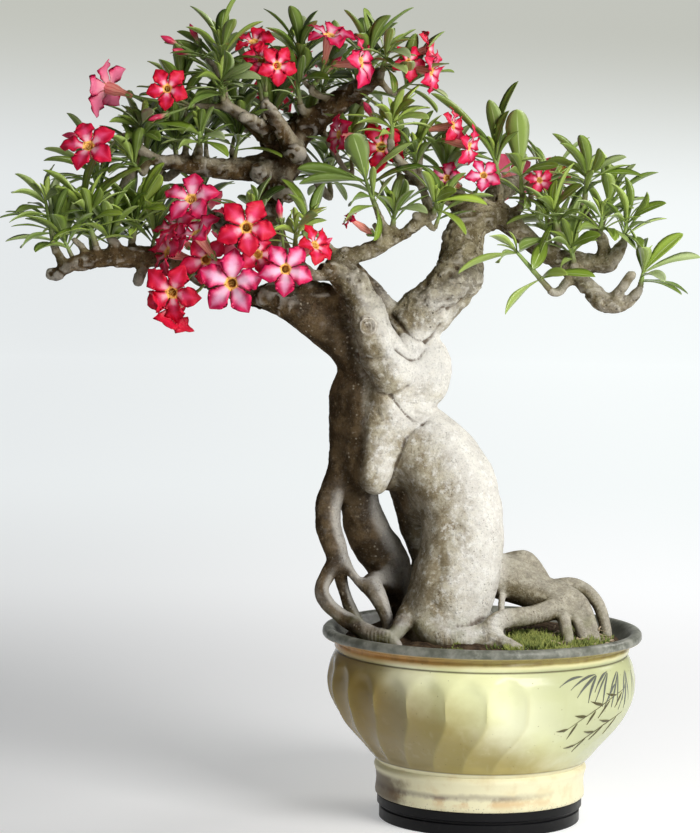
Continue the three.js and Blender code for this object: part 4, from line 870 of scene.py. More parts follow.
def listed_leaf(foot, top, entry, seed):
    """Root, tip, seen width and full width of a leaf whose tip is listed, as its solid has them."""
    x, z, side, seen_width = entry
    stem = top - foot
    tip = np.array([top[0] + x, 0.0, top[2] + z])
    flat_stem = stem * (1, 0, 1)
    along = np.clip((tip - foot) @ flat_stem / (flat_stem @ flat_stem), 0.25, 0.96)
    root = foot + stem * along
    seen = math.hypot(tip[0] - root[0], tip[2] - root[2])
    length = max(LEAF_LENGTH * (0.86 + 0.24 * scatter(seed)), seen)
    depth = side * max(math.sqrt(max(length**2 - seen**2, 0)), 0.12 * length)
    tip[1] = root[1] + depth
    return root, tip, seen_width, max(seen_width, min(max(0.3 * length, 12), 18))


def ring_leaf(foot, top, count, k, seed):
    """The same for leaf k of a shoot whose leaves stand round it at the golden angle."""
    stem = unit(top - foot)
    out = spoke(*square_to(stem), GOLDEN_ANGLE * k + 2 * math.pi * scatter(seed))
    spread = math.radians(24 + 56 * (k + 0.5) / count)
    length = LEAF_LENGTH * (0.85 + 0.3 * scatter(seed + k + 7))
    root = top + (foot - top) * 0.75 * (k + 0.2) / count
    tip = root + length * spoke(stem, out, spread)
    return root, tip, 0, min(max(0.32 * length, 12), 18)


def leaf_directions(root, tip, seen_width, full_width):
    """Across the blade, and square to its upper side, which never looks down."""
    axis = unit(tip - root)
    level = unit(np.cross(axis, VIEW if seen_width > 0 else UP))
    lift = np.cross(level, axis)
    turn = math.acos(min(1, seen_width / full_width)) if seen_width > 0 else 0.0
    across = spoke(level, lift, turn)
    normal = unit(np.cross(across, axis))
    return (-across, -normal) if normal[2] < 0 else (across, normal)


def node_points(name):
    """The places of a CAD node's own vertices, in millimetres."""
    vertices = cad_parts[name].data.vertices
    places = np.empty(3 * len(vertices))
    vertices.foreach_get("co", places)
    return places.reshape(-1, 3) / MM


def first_there(corners, spots):
    """The number of the first spot that is a corner of a node, or None."""
    gaps = [np.linalg.norm(corners - spot, axis=1).min() for spot in spots]
    return next((k for k, gap in enumerate(gaps) if gap < SAME_PLACE), None)


LEAF_ROWS = np.array([0, 0.05, 0.13, 0.23, 0.34, 0.46, 0.58, 0.69, 0.79, 0.87, 0.93, 0.97, 1.0])
# Across a blade and over or under it, round its edge: the upper side first.
LEAF_RING = np.array([[-1, 0], [-0.5, 1], [0, 1], [0.5, 1], [1, 0], [0.5, -1], [0, -1], [-0.5, -1]])
# Where a blade is widest, as a share of the way to its tip.
WIDEST = 0.68


def leaf_width(t):
    """Half the width of a blade as a share of its most: it grows as a sine up to its widest place,
    and is rounded off after it."""
    growing = 0.1 + 0.9 * np.sin(np.pi / 2 * np.minimum(t / WIDEST, 1))**1.6
    closing = np.maximum(1 - (np.maximum(t - WIDEST, 0) / (1 - WIDEST))**1.9, 0.002)**0.6
    return growing * closing


def add_leaves(shape, leaves, seed, finish=0):
    """Adds blades: each is a closed skin round a sheet that is bowed by 4t(1 - t) of its length, folded
    up from its rib and waved along its edges."""
    roots, tips, acrosses, normals, widths, young = (np.array(part, float) for part in zip(*leaves))
    chance = np.random.default_rng(seed)
    count = len(roots)
    t = LEAF_ROWS[None, :, None]
    u = LEAF_RING[None, None, :, 0]
    side = LEAF_RING[None, None, :, 1]
    length = np.linalg.norm(tips - roots, axis=1)[:, None, None]
    half = widths[:, None, None] / 2 * leaf_width(t)
    draws = chance.uniform([0, 0.3, 0.25, -1], [6.3, 1.0, 0.58, 1], (count, 4))
    phase, wave, fold, sway = draws.T[..., None, None]
    lift = 4 * LEAF_BOW * length * t * (1 - t) + fold * half * np.abs(u)**1.4
    lift = lift + wave * np.abs(u) * np.sin(9 * t + phase + 2.2 * u) * np.minimum(half, 5) * 0.16
    lift = lift + 0.5 * side * LEAF_THICKNESS * (1 - 0.55 * np.abs(u)) * (1 - 0.6 * t)
    shift = half * u + sway * 0.03 * length * np.sin(np.pi * t)
    along = (tips - roots)[:, None, None] * t[..., None]
    points = roots[:, None, None] + along
    points = points + acrosses[:, None, None] * shift[..., None]
    points = points + normals[:, None, None] * lift[..., None]
    tone = chance.uniform(0, 1, (count, 1, 1))
    # How fresh each leaf is, which on the shoots at the right stands partly for painted light.
    young = young[:, None, None]
    shape.tubes(points, finish, across=u, along=t, under=side < 0, tone=tone, young=young)


# The width of the broad leaves and of the others, as a share of their solids'.
BROAD_SHARE = 0.92
SLIM = 0.82
# How fresh, yellow and light the leaves of some shoots are, from 0 to 1; the shoots at the right are lighter
# as painted light.
BRIGHT_SHOOTS = {
    "left_fan": 0.55, "left_inner": 0.8, "middle_bright": 0.75, "right_fourth": 0.45, "right_shoot": 0.5,
    "front_sprig": 0.8, "top_bright": 0.7,
}
# Shoots at the right are made lighter as painted light; the others get a low share.
RIGHT_PAINTED_LIGHT = 0.3
OTHER_BRIGHT = 0.12
BRIGHT_SPREAD = 0.3
# The young leaves at a shoot's tip, and those that fill it: least and most of their angle from the
# stem in degrees and of their length, their place as a share of the way down the stem, and their width
# as a share of their length.
YOUNG_ANGLE = (8, 30)
YOUNG_LENGTH = (16, 28)
YOUNG_PLACE = 0.02
YOUNG_WIDTH = 0.24
YOUNG_TONE = 0.9
FILL_ANGLE = (26, 100)
FILL_LENGTH = (36, 56)
FILL_PLACE = (0.1, 0.95)
FILL_WIDTH = (0.15, 0.21)


def leaf_tone(chance, bright):
    """How fresh and light a leaf is, partly painted light on the shoots at the right: its shoot's own
    share, some more or less, and between 0 and 1.
    """
    return min(1, max(0, bright + chance.uniform(-BRIGHT_SPREAD, BRIGHT_SPREAD)))


def make_shoot(name, foot, top, listed, seed):
    """A shoot: its stem, the leaves of its solid, small young ones at its tip and more round it."""
    foot, top = np.array(foot, float), np.array(top, float)
    corners = node_points(name) if name in SHOOTS else None
    chance = np.random.default_rng(seed)
    count = len(listed) if isinstance(listed, list) else listed
    bright = BRIGHT_SHOOTS.get(name, RIGHT_PAINTED_LIGHT if name.startswith("right") else OTHER_BRIGHT)
    leaves = []
    for k in range(count):
        if isinstance(listed, list):
            root, tip, seen, full = listed_leaf(foot, top, listed[k], seed + k)
        else:
            root, tip, seen, full = ring_leaf(foot, top, count, k, seed)
        bend = 0 if corners is None else first_there(corners, tip + np.array(BENDS))
        if bend is not None:
            tip = tip + BENDS[bend]
            across, normal = leaf_directions(root, tip, seen, full)
            width = full * (BROAD_SHARE if seen > BROAD_LEAF else SLIM)
            leaves.append((root, tip, across, normal, width, leaf_tone(chance, bright)))
    stem = unit(top - foot)
    first, second = square_to(stem)
    extra = FULLNESS.get(name, FILL_LEAVES) if name in SHOOTS else 0
    for k in range(YOUNG_LEAVES + extra):
        is_young = k < YOUNG_LEAVES
        turn = GOLDEN_ANGLE * k + 0.6 * chance.uniform()
        spread = math.radians(chance.uniform(*(YOUNG_ANGLE if is_young else FILL_ANGLE)))
        length = chance.uniform(*(YOUNG_LENGTH if is_young else FILL_LENGTH))
        root = top + (foot - top) * (YOUNG_PLACE if is_young else chance.uniform(*FILL_PLACE))
        tip = root + length * spoke(stem, spoke(first, second, turn), spread)
        across, normal = leaf_directions(root, tip, 0, 1)
        width = length * (YOUNG_WIDTH if is_young else chance.uniform(*FILL_WIDTH))
        tone = YOUNG_TONE if is_young else leaf_tone(chance, bright)
        leaves.append((root, tip, across, normal, width, tone))
    shoot = Shape()
    add_leaves(shoot, leaves, seed)
    rows = np.linspace(0, 1, 12)
    line = foot - 2 * stem + (top - foot + 2 * stem) * (1.06 * rows)[:, None]
    knots = 1 + 0.10 * np.sin(rows * 31) * (1 - rows)
    radii = SHOOT_RADIUS * (0.9 if name in SHOOTS else 0.66) * (0.95 - 0.5 * rows) * knots
    shoot.tubes(round_rings(line, radii, 10)[None], 1, along=rows[None, :, None])
    return shoot.make(name, [leaf, stem_green], [name] if name in SHOOTS else [])


LOBE_ROWS = np.array([0, 0.07, 0.15, 0.24, 0.33, 0.42, 0.51, 0.60, 0.69, 0.77, 0.84, 0.90, 0.95, 1.0])
LOBE_RING = np.array(
    [[1, 0], [0.67, 1], [0.33, 1], [0, 1], [-0.33, 1], [-0.67, 1], [-1, 0], [-0.67, -1], [-0.33, -1],
     [0, -1], [0.33, -1], [0.67, -1]])
# A trumpet's profile, [distance past its mouth, radius]: its foot in millimetres, then its mouth and
# its inside as shares of the bloom's radius.
TRUMPET_FOOT = [[-29, 1.0], [-28, 2.2], [-25, 2.7], [-20, 2.9], [-15, 3.6]]
TRUMPET_MOUTH = [
    [-0.32, 0.175], [-0.20, 0.185], [-0.08, 0.185], [0.0, 0.180], [0.03, 0.172], [0.02, 0.150],
    [-0.05, 0.130], [-0.18, 0.11], [-0.32, 0.09], [-0.5, 0.05],
]
MOUTH_TURNS = 4


def bloom_frame(facing):
    """Two directions square to the way that a bloom faces, the first as near up as can be."""
    first = unit(UP - facing * facing[2])
    return first, np.cross(facing, first)


def add_bloom(shape, throat, facing, radius, roll, seed, tone):
    """Adds a bloom: five oval lobes with short points and waved edges, its trumpet, and five threads in
    its throat."""
    chance = np.random.default_rng(seed)
    first, second = bloom_frame(facing)
    angle = (roll + even_turns(LOBES))[:, None, None]
    out = first * np.cos(angle)[..., None] + second * np.sin(angle)[..., None]
    aside = -first * np.sin(angle)[..., None] + second * np.cos(angle)[..., None]
    s = LOBE_ROWS[None, :, None]
    u, side = LOBE_RING[None, None, :, 0], LOBE_RING[None, None, :, 1]
    swell = 0.58
    wide = 0.110 + 0.235 * np.sin(np.pi / 2 * np.minimum(s / swell, 1))**1.35
    taper = np.maximum((s - swell) / (1 - swell), 0)
    wide = wide * (1 - taper**1.3 * 0.999)**0.95
    phase, twist, curl, wave, size = chance.uniform(
        [0, -1, -0.5, 0.6, 0.90], [6.3, 1, 1.4, 1.4, 1.03], (LOBES, 5)).T[..., None, None]
    reach = radius * (0.13 + 0.87 * s * size)
    arch = 0.13 * np.sin(np.pi * s**0.9) - 0.07 * curl * s**3
    arch = arch + (0.07 + 0.06 * twist) * u * np.sin(np.pi * s) + 0.06 * u * u * np.sin(np.pi * s)
    arch = arch + 0.085 * wave * np.abs(u)**1.5 * np.sin(15 * s + phase + 2 * u) * np.sin(np.pi * s)
    wide = wide * (1 + 0.07 * wave * np.sin(21 * s + 2 * phase) * np.sin(np.pi * s))
    height = radius * arch + side * 0.45 * (1 - 0.5 * np.abs(u))
    points = throat + out * reach[..., None] + aside * (radius * wide * u)[..., None]
    points = points + facing * height[..., None]
    shape.tubes(points, 0, across=u, along=s, tone=tone, outside=side < 0)
    profile = np.vstack([TRUMPET_FOOT, np.array(TRUMPET_MOUTH) * radius])
    turns = even_turns(20)
    pleat = 1 + 0.07 * np.cos(LOBES * (turns - roll))
    spokes = (first * np.cos(turns)[:, None] + second * np.sin(turns)[:, None]) * pleat[:, None]
    rings = throat + profile[:, :1, None] * facing + profile[:, 1:, None] * spokes
    rows = len(profile)
    inside = np.arange(rows) >= len(TRUMPET_FOOT) + MOUTH_TURNS
    shape.tubes(
        rings[None], 1, across=(turns / (2 * np.pi))[None, None, :], inside=inside[None, :, None],
        along=np.linspace(0, 1.35, rows)[None, :, None].clip(0, 1))
    for turn in roll + even_turns(LOBES):
        way = spoke(first, second, turn)
        deep = throat - facing * 0.36 * radius + way * 0.03 * radius
        tip = throat + facing * 0.03 * radius + way * 0.055 * radius
        line = deep + (tip - deep) * np.linspace(0, 1, 4)[:, None]
        shape.tubes(round_rings(line, [0.5, 0.5, 0.4, 0.2], 5)[None], 2)


def add_sepals(shape, foot, facing, seed):
    """Adds five pointed sepals round the foot of a bloom or bud, as small blades."""
    first, second = bloom_frame(facing)
    leaves = []
    for turn in even_turns(LOBES) + seed:
        out = spoke(first, second, turn)
        root = foot + out * 1.4
        tip = foot + facing * 6.5 + out * 3.6
        normal = unit(out - facing * (out @ facing))
        axis = unit(tip - root)
        across = unit(np.cross(axis, normal))
        leaves.append((root, tip, across, unit(np.cross(across, axis)), 3.0, 0.6))
    add_leaves(shape, leaves, seed, 4)


def add_bud(shape, tip, way):
    """Adds a slim pointed bud with twisted ridges."""
    rows = np.array([0, 0.05, 0.15, 0.28, 0.42, 0.55, 0.66, 0.77, 0.87, 0.94, 1.0])
    girth = np.array([1.0, 1.7, 1.9, 2.0, 2.5, 3.1, 3.2, 2.7, 1.8, 1.0, 0.25])
    rings = round_rings(tip + way * BUD_LENGTH * (rows - 1)[:, None], girth, 15)
    turns = even_turns(15)
    ridge = 1 + 0.10 * np.cos(LOBES * (turns + 1.5 * rows[:, None])) * np.sin(np.pi * rows[:, None])
    middle = rings.mean(1, keepdims=True)
    rings = middle + (rings - middle) * ridge[..., None]
    shape.tubes(rings[None], 3, along=rows[None, :, None], across=(turns / (2 * np.pi))[None, None, :])


def add_stalk(shape, root, end, facing):
    """Adds a stalk that arrives along the way its bloom faces."""
    reach = np.linalg.norm(end - root)
    shares = np.linspace(0, 1, 9)
    line = arc(root, root + 0.4 * (end - root), end - 0.3 * reach * facing, end + 1.5 * facing, shares)
    radii = STALK_RADIUS * (1 + 0.25 * (2 * shares - 1)**2)
    shape.tubes(round_rings(line, radii, 8)[None], 4, along=shares[None, :, None])


def make_spray(name, root, blooms, buds, seed):
    """A spray: its hub, and its blooms and buds on stalks, each bloom where its solid has it."""
    root = np.array(root, float)
    way = spray_direction(root, blooms, buds)
    knuckle = root + way * HUB_LENGTH / 2
    corners = node_points(name)
    spray = Shape()
    rows = np.linspace(0, 1, 7)
    hub = root + way * HUB_LENGTH * rows[:, None]
    rounded = HUB_RADIUS * (1 - 0.25 * np.abs(2 * rows - 1)**3)
    spray.tubes(round_rings(hub, rounded, 10)[None], 4, along=rows[None, :, None])
    more = MORE_BLOOMS.get(name, [])
    for i, (x, y, z, *aim, radius) in enumerate(blooms + more):
        facing = unit(np.array(aim, float))
        roll = 2 * math.pi / LOBES * scatter(seed + i)
        rim = (spoke(*bloom_frame(facing), roll) - 0.04 * facing) * radius
        spots = np.array([x, y, z]) - np.array(SHIFTS)[:, None] * VIEW
        found = first_there(corners, spots + rim) if i < len(blooms) else 0
        if found is None:
            continue
        throat = spots[found]
        foot = throat - facing * BLOOM_TUBE
        tone = BLOOM_TONES[name][i] if name in BLOOM_TONES else 0.55 * scatter(seed + i + 3)
        add_bloom(spray, throat, facing, radius, roll, seed + i, tone)
        add_sepals(spray, foot - facing * 2, facing, seed + i)
        add_stalk(spray, knuckle, foot, facing)
    for tip in buds:
        tip = np.array(tip, float)
        facing = unit(tip - root)
        foot = tip - facing * BUD_LENGTH
        add_bud(spray, tip, facing)
        add_sepals(spray, foot - facing, facing, seed)
        add_stalk(spray, knuckle, foot, facing)
    return spray.make(name, [petal, trumpet, anther, bud_skin, stem_green], [name])


# The pot's profile: radius and height of its foot, its fluted body, its neck and rim, and its inside
# with the recess under it.
POT_FOOT = [
    [97.5, STAND_HEIGHT], [99, 24.5], [99.3, 27], [98.6, 33], [98.3, 38], [98.8, 44], [100, 48.5],
    [100.6, 50.6], [100, 52.6], [98.4, 54], [97.4, 54.8], [97.6, 55.6], [99.4, 57], [101.5, 59.5], [105, 63],
]
POT_BODY = [
    [105, 63], [112.5, 72], [123, 83.5], [132.5, 95], [139.8, 107.5], [144.5, 120], [145.9, 133],
    [143.5, 147], [140.8, 154],
]
POT_NECK = [
    [140.8, 154], [139.2, 157.2], [137.6, 158.8], [137.0, 159.6], [137.4, 160.6], [138.6, 161.6],
    [139.4, 163.6], [139.2, 166], [138.4, 168.4], [139.4, 170.2], [142.5, 171.4], [146.5, 172.3],
    [149.6, 173.2], [150.8, 174.8], [RIM_RADIUS, 177], [150.5, 179.6], [149, 181.4], [146.5, RIM_TOP],
    [143.5, 181.8], [141, 180.4], [139, 177.6], [137, 174], [134, 170],
]
POT_INSIDE = [
    [131, 166], [130.5, 160], [135, 147], [136, 124], [123, 96], [104, 74], [91, 57], [89, 35], [60, 35],
    [12, 35], [12, 27], [60, 27], [83, 27], [84, 26], [84, 23.6], [85, STAND_HEIGHT], [92, STAND_HEIGHT],
]
POT_COLUMNS = 432
BODY_ROWS = 64
# Rows of the neck that are wavy like the body, and rows at its end that are glazed like the inside.
WAVY_NECK_ROWS = 7
INNER_RIM_ROWS = 3
# The part of the pot's side that is smoother, for the brushwork: its middle's angle, from +X towards
# the viewer, and half its width.
PANEL_TURN = math.radians(-38)
PANEL_HALF = math.radians(36)


def flutes(turn, height):
    """How far the flutes draw the side in, as a share of their depth: ridges at even steps, swept
    round below the belly, arched at their tops and faint on the painted panel; and how near a spot
    is to a ridge."""
    sweep = FLUTE_SWEEP * smooth(0, 58, 116 - height)
    wave = np.abs(np.sin(FLUTES / 2 * (turn + sweep)))
    top = 155 - 11 * (1 - wave)
    share = smooth(58, 68, height) * smooth(top + 3, top - 15, height)
    off = (turn - PANEL_TURN + np.pi) % (2 * np.pi) - np.pi
    share = share * (1 - 0.85 * smooth(PANEL_HALF + 0.12, PANEL_HALF - 0.12, np.abs(off)))
    return share * wave**0.8 * 1.45, share * (1 - wave)**5


def body_radius(turn, height):
    """The radius of the pot's fluted side."""
    rows = spline(POT_BODY, np.linspace(0, 1, 200))
    return np.interp(height, rows[:, 1], rows[:, 0]) - FLUTE_DEPTH * flutes(turn, height)[0]


def make_pot():
    """The pot: one closed profile, outside, over the rim, inside and under the foot, turned round."""
    body = spline(POT_BODY, np.linspace(0, 1, BODY_ROWS))
    profile = np.vstack([POT_FOOT[:-1], body, POT_NECK[1:], POT_INSIDE])
    turn = even_turns(POT_COLUMNS)
    rings = lathe(profile, turn)
    rows = np.arange(len(profile))
    neck_start = len(POT_FOOT) - 1 + BODY_ROWS
    neck_end = neck_start + len(POT_NECK) - 1
    outer = (rows < neck_start + WAVY_NECK_ROWS)[:, None]
    inner = rows >= neck_end - INNER_RIM_ROWS
    drawn, ridge = flutes(turn[None], profile[:, 1:])
    drawn, ridge = drawn * outer, ridge * outer
    rings[..., :2] *= 1 - FLUTE_DEPTH * (drawn / profile[:, :1])[..., None]
    wobble = 0.35 * np.sin(3 * turn + 0.6) + 0.25 * np.sin(5 * turn + profile[:, 1:] / 40)
    rings[..., :2] *= 1 + (outer * wobble / 150)[..., None]
    faces = sheet_faces(len(rows) + 1, POT_COLUMNS, ring=True) % (len(rows) * POT_COLUMNS)
    pot = Shape()
    pot.add(rings.reshape(-1, 3), [faces], ridge=ridge.ravel(), inner=np.repeat(inner, POT_COLUMNS))
    return pot.make("pot", [glaze], ["pot"], sharp=40)


def make_stand():
    """The low two-tier stand, its edges softened, with a groove between its tiers."""
    profile = [
        [94, 0], [95, 0.8], [95, 10.4], [94.4, 11.2], [93.5, 11.6], [93.5, 13], [94.2, 13.6], [96.2, 14],
        [STAND_RADIUS, 14.8], [STAND_RADIUS, 22], [96.2, STAND_HEIGHT], [90, STAND_HEIGHT],
    ]
    stand = Shape()
    stand.tubes(lathe(profile, even_turns(160))[None])
    return stand.make("stand", [lacquer], ["stand"], sharp=35)


SOIL_RADIUS = 129
SOIL_SIDE = [
    [1, 35.4], [60, 35.4], [87.6, 35.4], [89.6, 57.4], [102.6, 74.4], [121.4, 96.4], [134.2, 124],
    [133.2, 146.6], [128.6, 159.6], [SOIL_RADIUS, 167],
]


def soil_height(x, y):
    """The height of the soil's top: a low mound with clumps and crumbs."""
    radius = np.hypot(x, y)
    points = np.stack([x, y, 0 * x], -1).reshape(-1, 3)
    rough = 2.4 * noise(points, 19, 7) + 1.2 * noise(points, 6, 8) + 0.7 * noise(points, 2.6, 9)
    mound = np.interp(radius, [0, 90, SOIL_RADIUS], [180, 177, 172])
    return mound + rough.reshape(radius.shape) * smooth(SOIL_RADIUS, 120, radius)


def make_soil():
    """The soil that fills the pot, rough on top."""
    turns = even_turns(220)
    radii = np.concatenate([np.linspace(SOIL_RADIUS, 6, 62), [3, 1.2]])
    side = lathe(SOIL_SIDE, turns)
    top = lathe(np.stack([radii, radii], 1), turns)
    top[..., 2] = soil_height(top[..., 0], top[..., 1])
    soil = Shape()
    soil.tubes(np.concatenate([side, top])[None])
    return soil.make("soil", [earth], ["soil"], sharp=60)


# Spikes of moss in a clump, how far they stand from its middle, and how far out moss grows.
CLUMP = 14
CLUMP_SPREAD = 2.6
MOSS_REACH = SOIL_RADIUS - 5
# Patches of moss: x, y, how far each spreads, how many spikes, their height and how light they are.
MOSS = [
    (46, -66, 30, 1300, 9.5, 0.6), (92, -60, 17, 420, 9.5, 0.5), (26, -92, 18, 380, 7.0, 0.65),
    (70, -94, 16, 420, 6.5, 0.6), (112, -40, 12, 160, 8.0, 0.35), (40, -30, 20, 240, 9.0, 0.45),
    (-118, -58, 15, 330, 6.0, 0.15), (-30, -106, 20, 110, 3.6, 0.3),
    (96, 0, 22, 300, 6.0, 0.4), (116, -14, 12, 200, 7.0, 0.5), (70, -24, 20, 240, 6.0, 0.3),
    (100, 40, 24, 220, 6.0, 0.5), (-60, 100, 24, 220, 6.0, 0.5), (20, 112, 16, 140, 6.0, 0.4),
]


def make_moss():
    """Moss: slim leaning spikes in patches on the soil."""
    chance = np.random.default_rng(5)
    moss = Shape()
    for x, y, spread, count, tall, light in MOSS:
        clumps = np.array([x, y]) + chance.normal(0, spread / 2, (max(count // CLUMP, 1), 2))
        off = chance.normal(0, CLUMP_SPREAD, (len(clumps), CLUMP, 2))
        place = (clumps[:, None] + off).reshape(-1, 2)
        shade = np.repeat(chance.normal(0, 0.25, len(clumps)), CLUMP)
        inside = np.hypot(*place.T) < MOSS_REACH
        off, shade, place = off.reshape(-1, 2)[inside], shade[inside], place[inside]
        count = len(place)
        ground = soil_height(place[:, 0], place[:, 1]) - 1
        height = tall * chance.uniform(0.5, 1.1, count) * (1 - 0.4 * smooth(0, 7, np.hypot(*off.T)))
        lean = off * 0.35 + chance.normal(0, 0.22, (count, 2)) * height[:, None]
        rows = np.array([0, 0.55, 1.0])
        middle = np.zeros((count, 3, 3))
        middle[..., :2] = place[:, None] + lean[:, None] * rows[None, :, None]**1.6
        middle[..., 2] = ground[:, None] + height[:, None] * rows
        turn = chance.uniform(0, 6.3, count)[:, None] + even_turns(4)
        girth = chance.uniform(0.5, 0.95, count)[:, None] * np.array([1.0, 0.8, 0.12])
        spokes = np.stack([np.cos(turn), np.sin(turn), 0 * turn], -1)
        rings = middle[:, :, None] + girth[..., None, None] * spokes[:, None]
        tone = np.clip(light + shade + chance.normal(0, 0.18, count), 0, 1)[:, None, None]
        moss.tubes(rings, tone=tone, tip=rows[None, :, None])
    return moss.make("moss", [moss_green])


ROOTLETS = 34
CHIPS = 150
RIGHT_ROOTLETS = np.array([104, -34, 184])
LEFT_ROOTLETS = np.array([-104, -52, 180])
CHIPS_MIDDLE = np.array([88, -38, 0])


def make_rootlets():
    """Fine pale rootlets that hang over the soil, every third at the left and the others at the right,
    and small fallen chips at the right. A rootlet is a random walk that drifts down and forward."""
    chance = np.random.default_rng(9)
    rootlets = Shape()
    knots = np.arange(7)[:, None]
    for k in range(ROOTLETS):
        start = RIGHT_ROOTLETS + chance.normal(0, [9, 9, 3])
        if k % 3 == 0:
            start = LEFT_ROOTLETS + chance.normal(0, [10, 8, 2])
        walk = np.cumsum(chance.normal(0, [3.4, 3.4, 1.0], (len(knots), 3)), axis=0)
        line = spline(start + (walk + knots * [0.6, -1.6, -1.4]), np.linspace(0, 1, 16))
        line[:, 2] = np.maximum(line[:, 2], soil_height(line[:, 0], line[:, 1]) + 0.3)
        if np.hypot(line[:, 0], line[:, 1]).max() < SOIL_RADIUS - 2:
            rootlets.tubes(round_rings(line, np.linspace(0.75, 0.35, 16), 5)[None])
    for _ in range(CHIPS):
        spot = CHIPS_MIDDLE + chance.normal(0, [26, 30, 0])
        if math.hypot(spot[0], spot[1]) > SOIL_RADIUS - 4:
            continue
        way = unit(chance.normal(0, [1, 1, 0.25]))
        line = spot + way * np.linspace(-0.5, 0.5, 5)[:, None] * chance.uniform(4, 11)
        line[:, 2] += soil_height(line[:, 0], line[:, 1]).max() + 1.2
        line = line + np.array([way[1], -way[0], 0.6]) * np.array([0, 0.7, 1, 0.7, 0])[:, None]
        rootlets.tubes(round_rings(line, [0.3, 0.8, 0.9, 0.7, 0.25], 5)[None])
    return rootlets.make("rootlets", [rootlet])


# Fans of painted leaves on the panel: angle in degrees from +X (towards the viewer is minus), height,
# count of leaves, the way that the middle leaf points in degrees from level, the angle between the
# outer two, and their length.
FANS = [
    (-50, 153, 1, -190, 0, 36), (-43, 154, 3, -166, 30, 38), (-36, 155, 3, -152, 34, 40),
    (-29, 154, 3, -138, 34, 42), (-22, 153, 3, -122, 32, 40), (-15, 151, 2, -110, 20, 38),
    (-32, 144, 2, -140, 26, 30), (-24, 142, 2, -126, 26, 32),
]
# Bent stems below them: degrees, height, direction and length, how far each bends, and its leaves.
STEMS = [(-19, 138, -175, 108, 0.50, 8), (-22, 114, -172, 76, 0.50, 6)]
STEM_WIDTH = 0.42
# The radius that turns a length along the pot's side into an angle.
PAINTED_RADIUS = 145.0
# How far the paint stands out of the glaze and reaches into it.
PAINT_OVER = 0.22
PAINT_UNDER = -0.5


def make_brushwork():
    """Thin brushed leaves and stems that lie on the glaze: pointed lenses, each on a bent line."""
    painted = Shape()
    t = np.linspace(0, 1, 12)
    aside, over = LEAF_RING.T
    proud = np.where(over > 0, PAINT_OVER, np.where(over < 0, PAINT_UNDER, 0.0))
    chance = np.random.default_rng(21)

    def stroke(degrees, height, way, bend, long, wide, ink):
        """One lens: its half width is wide times a sine that peaks early, its way turns by bend."""
        bent = way + bend * t
        right = np.cumsum(np.cos(bent)) * long / len(t)
        rise = np.cumsum(np.sin(bent)) * long / len(t)
        half = wide * np.sin(np.pi * np.clip(t * 0.96 + 0.02, 0, 1)**0.75)**1.1
        angle = math.radians(degrees) + right / PAINTED_RADIUS
        turn = angle[:, None] - np.sin(bent)[:, None] * aside * half[:, None] / PAINTED_RADIUS
        level = height + rise[:, None] + np.cos(bent)[:, None] * aside * half[:, None]
        radius = body_radius(turn, level) + proud
        rings = np.stack([radius * np.cos(turn), radius * np.sin(turn), level], -1)
        painted.tubes(rings[None], ink)

    for degrees, height, count, aim, fan, length in FANS:
        for k in range(count):
            way = math.radians(aim + fan * (k / max(count - 1, 1) - 0.5) + chance.uniform(-4, 4))
            long = length * chance.uniform(0.75, 1.05)
            stroke(degrees, height, way, chance.uniform(0.4, 0.85), long, chance.uniform(1.0, 1.5), 0)
    for degrees, height, aim, length, bend, count in STEMS:
        way = math.radians(aim)
        stroke(degrees, height, way, bend, length, STEM_WIDTH, 1)
        for k in range(count):
            share = 0.22 + 0.72 * k / (count - 1)
            passed = way + bend * np.linspace(0, share, 20)
            right = np.cos(passed).mean() * length * share
            rise = np.sin(passed).mean() * length * share
            side = (-1)**k
            leaf_way = passed[-1] + side * math.radians(chance.uniform(16, 32))
            long = (25 - 9 * share) * chance.uniform(0.8, 1.1)
            start = degrees + math.degrees(right / PAINTED_RADIUS)
            stroke(start, height + rise, leaf_way, side * 0.3, long, chance.uniform(1.0, 1.45), 1)
    return painted.make("brushwork", [grey_ink, olive_ink])


class Signal:
    """A value that a shader node gives. Sums and products with it make further nodes."""

    def __init__(self, finish, socket):
        self.finish = finish
        self.socket = socket

    def math(self, operation, *others):
        """What a Math node gives for this value and others."""
        return self.finish.node("Math", {"operation": operation}, dict(enumerate((self, *others))))

    def __add__(self, other):
        return self.math("ADD", other)

    __radd__ = __add__

    def __sub__(self, other):
        return self.math("SUBTRACT", other)

    def __rsub__(self, other):
        return self.finish.node("Math", {"operation": "SUBTRACT"}, {0: other, 1: self})

    def __mul__(self, other):
        return self.math("MULTIPLY", other)

    __rmul__ = __mul__

    def __abs__(self):
        return self.math("ABSOLUTE")

    def __neg__(self):
        return self * -1

    def fraction(self):
        """What it is over the whole number below it."""
        return self.math("FRACT")

    def past(self, low, high):
        """0 at low and 1 at high, smoothly between them; high may be the smaller."""
        settings = {"interpolation_type": "SMOOTHSTEP"}
        return self.finish.node("MapRange", settings, {0: self, 1: low, 2: high})

    def near(self, middle, width):
        """1 at a middle value, and 0 beyond a width either side of it."""
        return abs(self - middle).past(width, 0)

    def dimmed(self, share):
        """A colour with every part of it times a share."""
        return self.finish.mix(1 - share, self, (0, 0, 0))

    def other(self, index):
        """Another output of the same node."""
        return Signal(self.finish, self.socket.node.outputs[index])


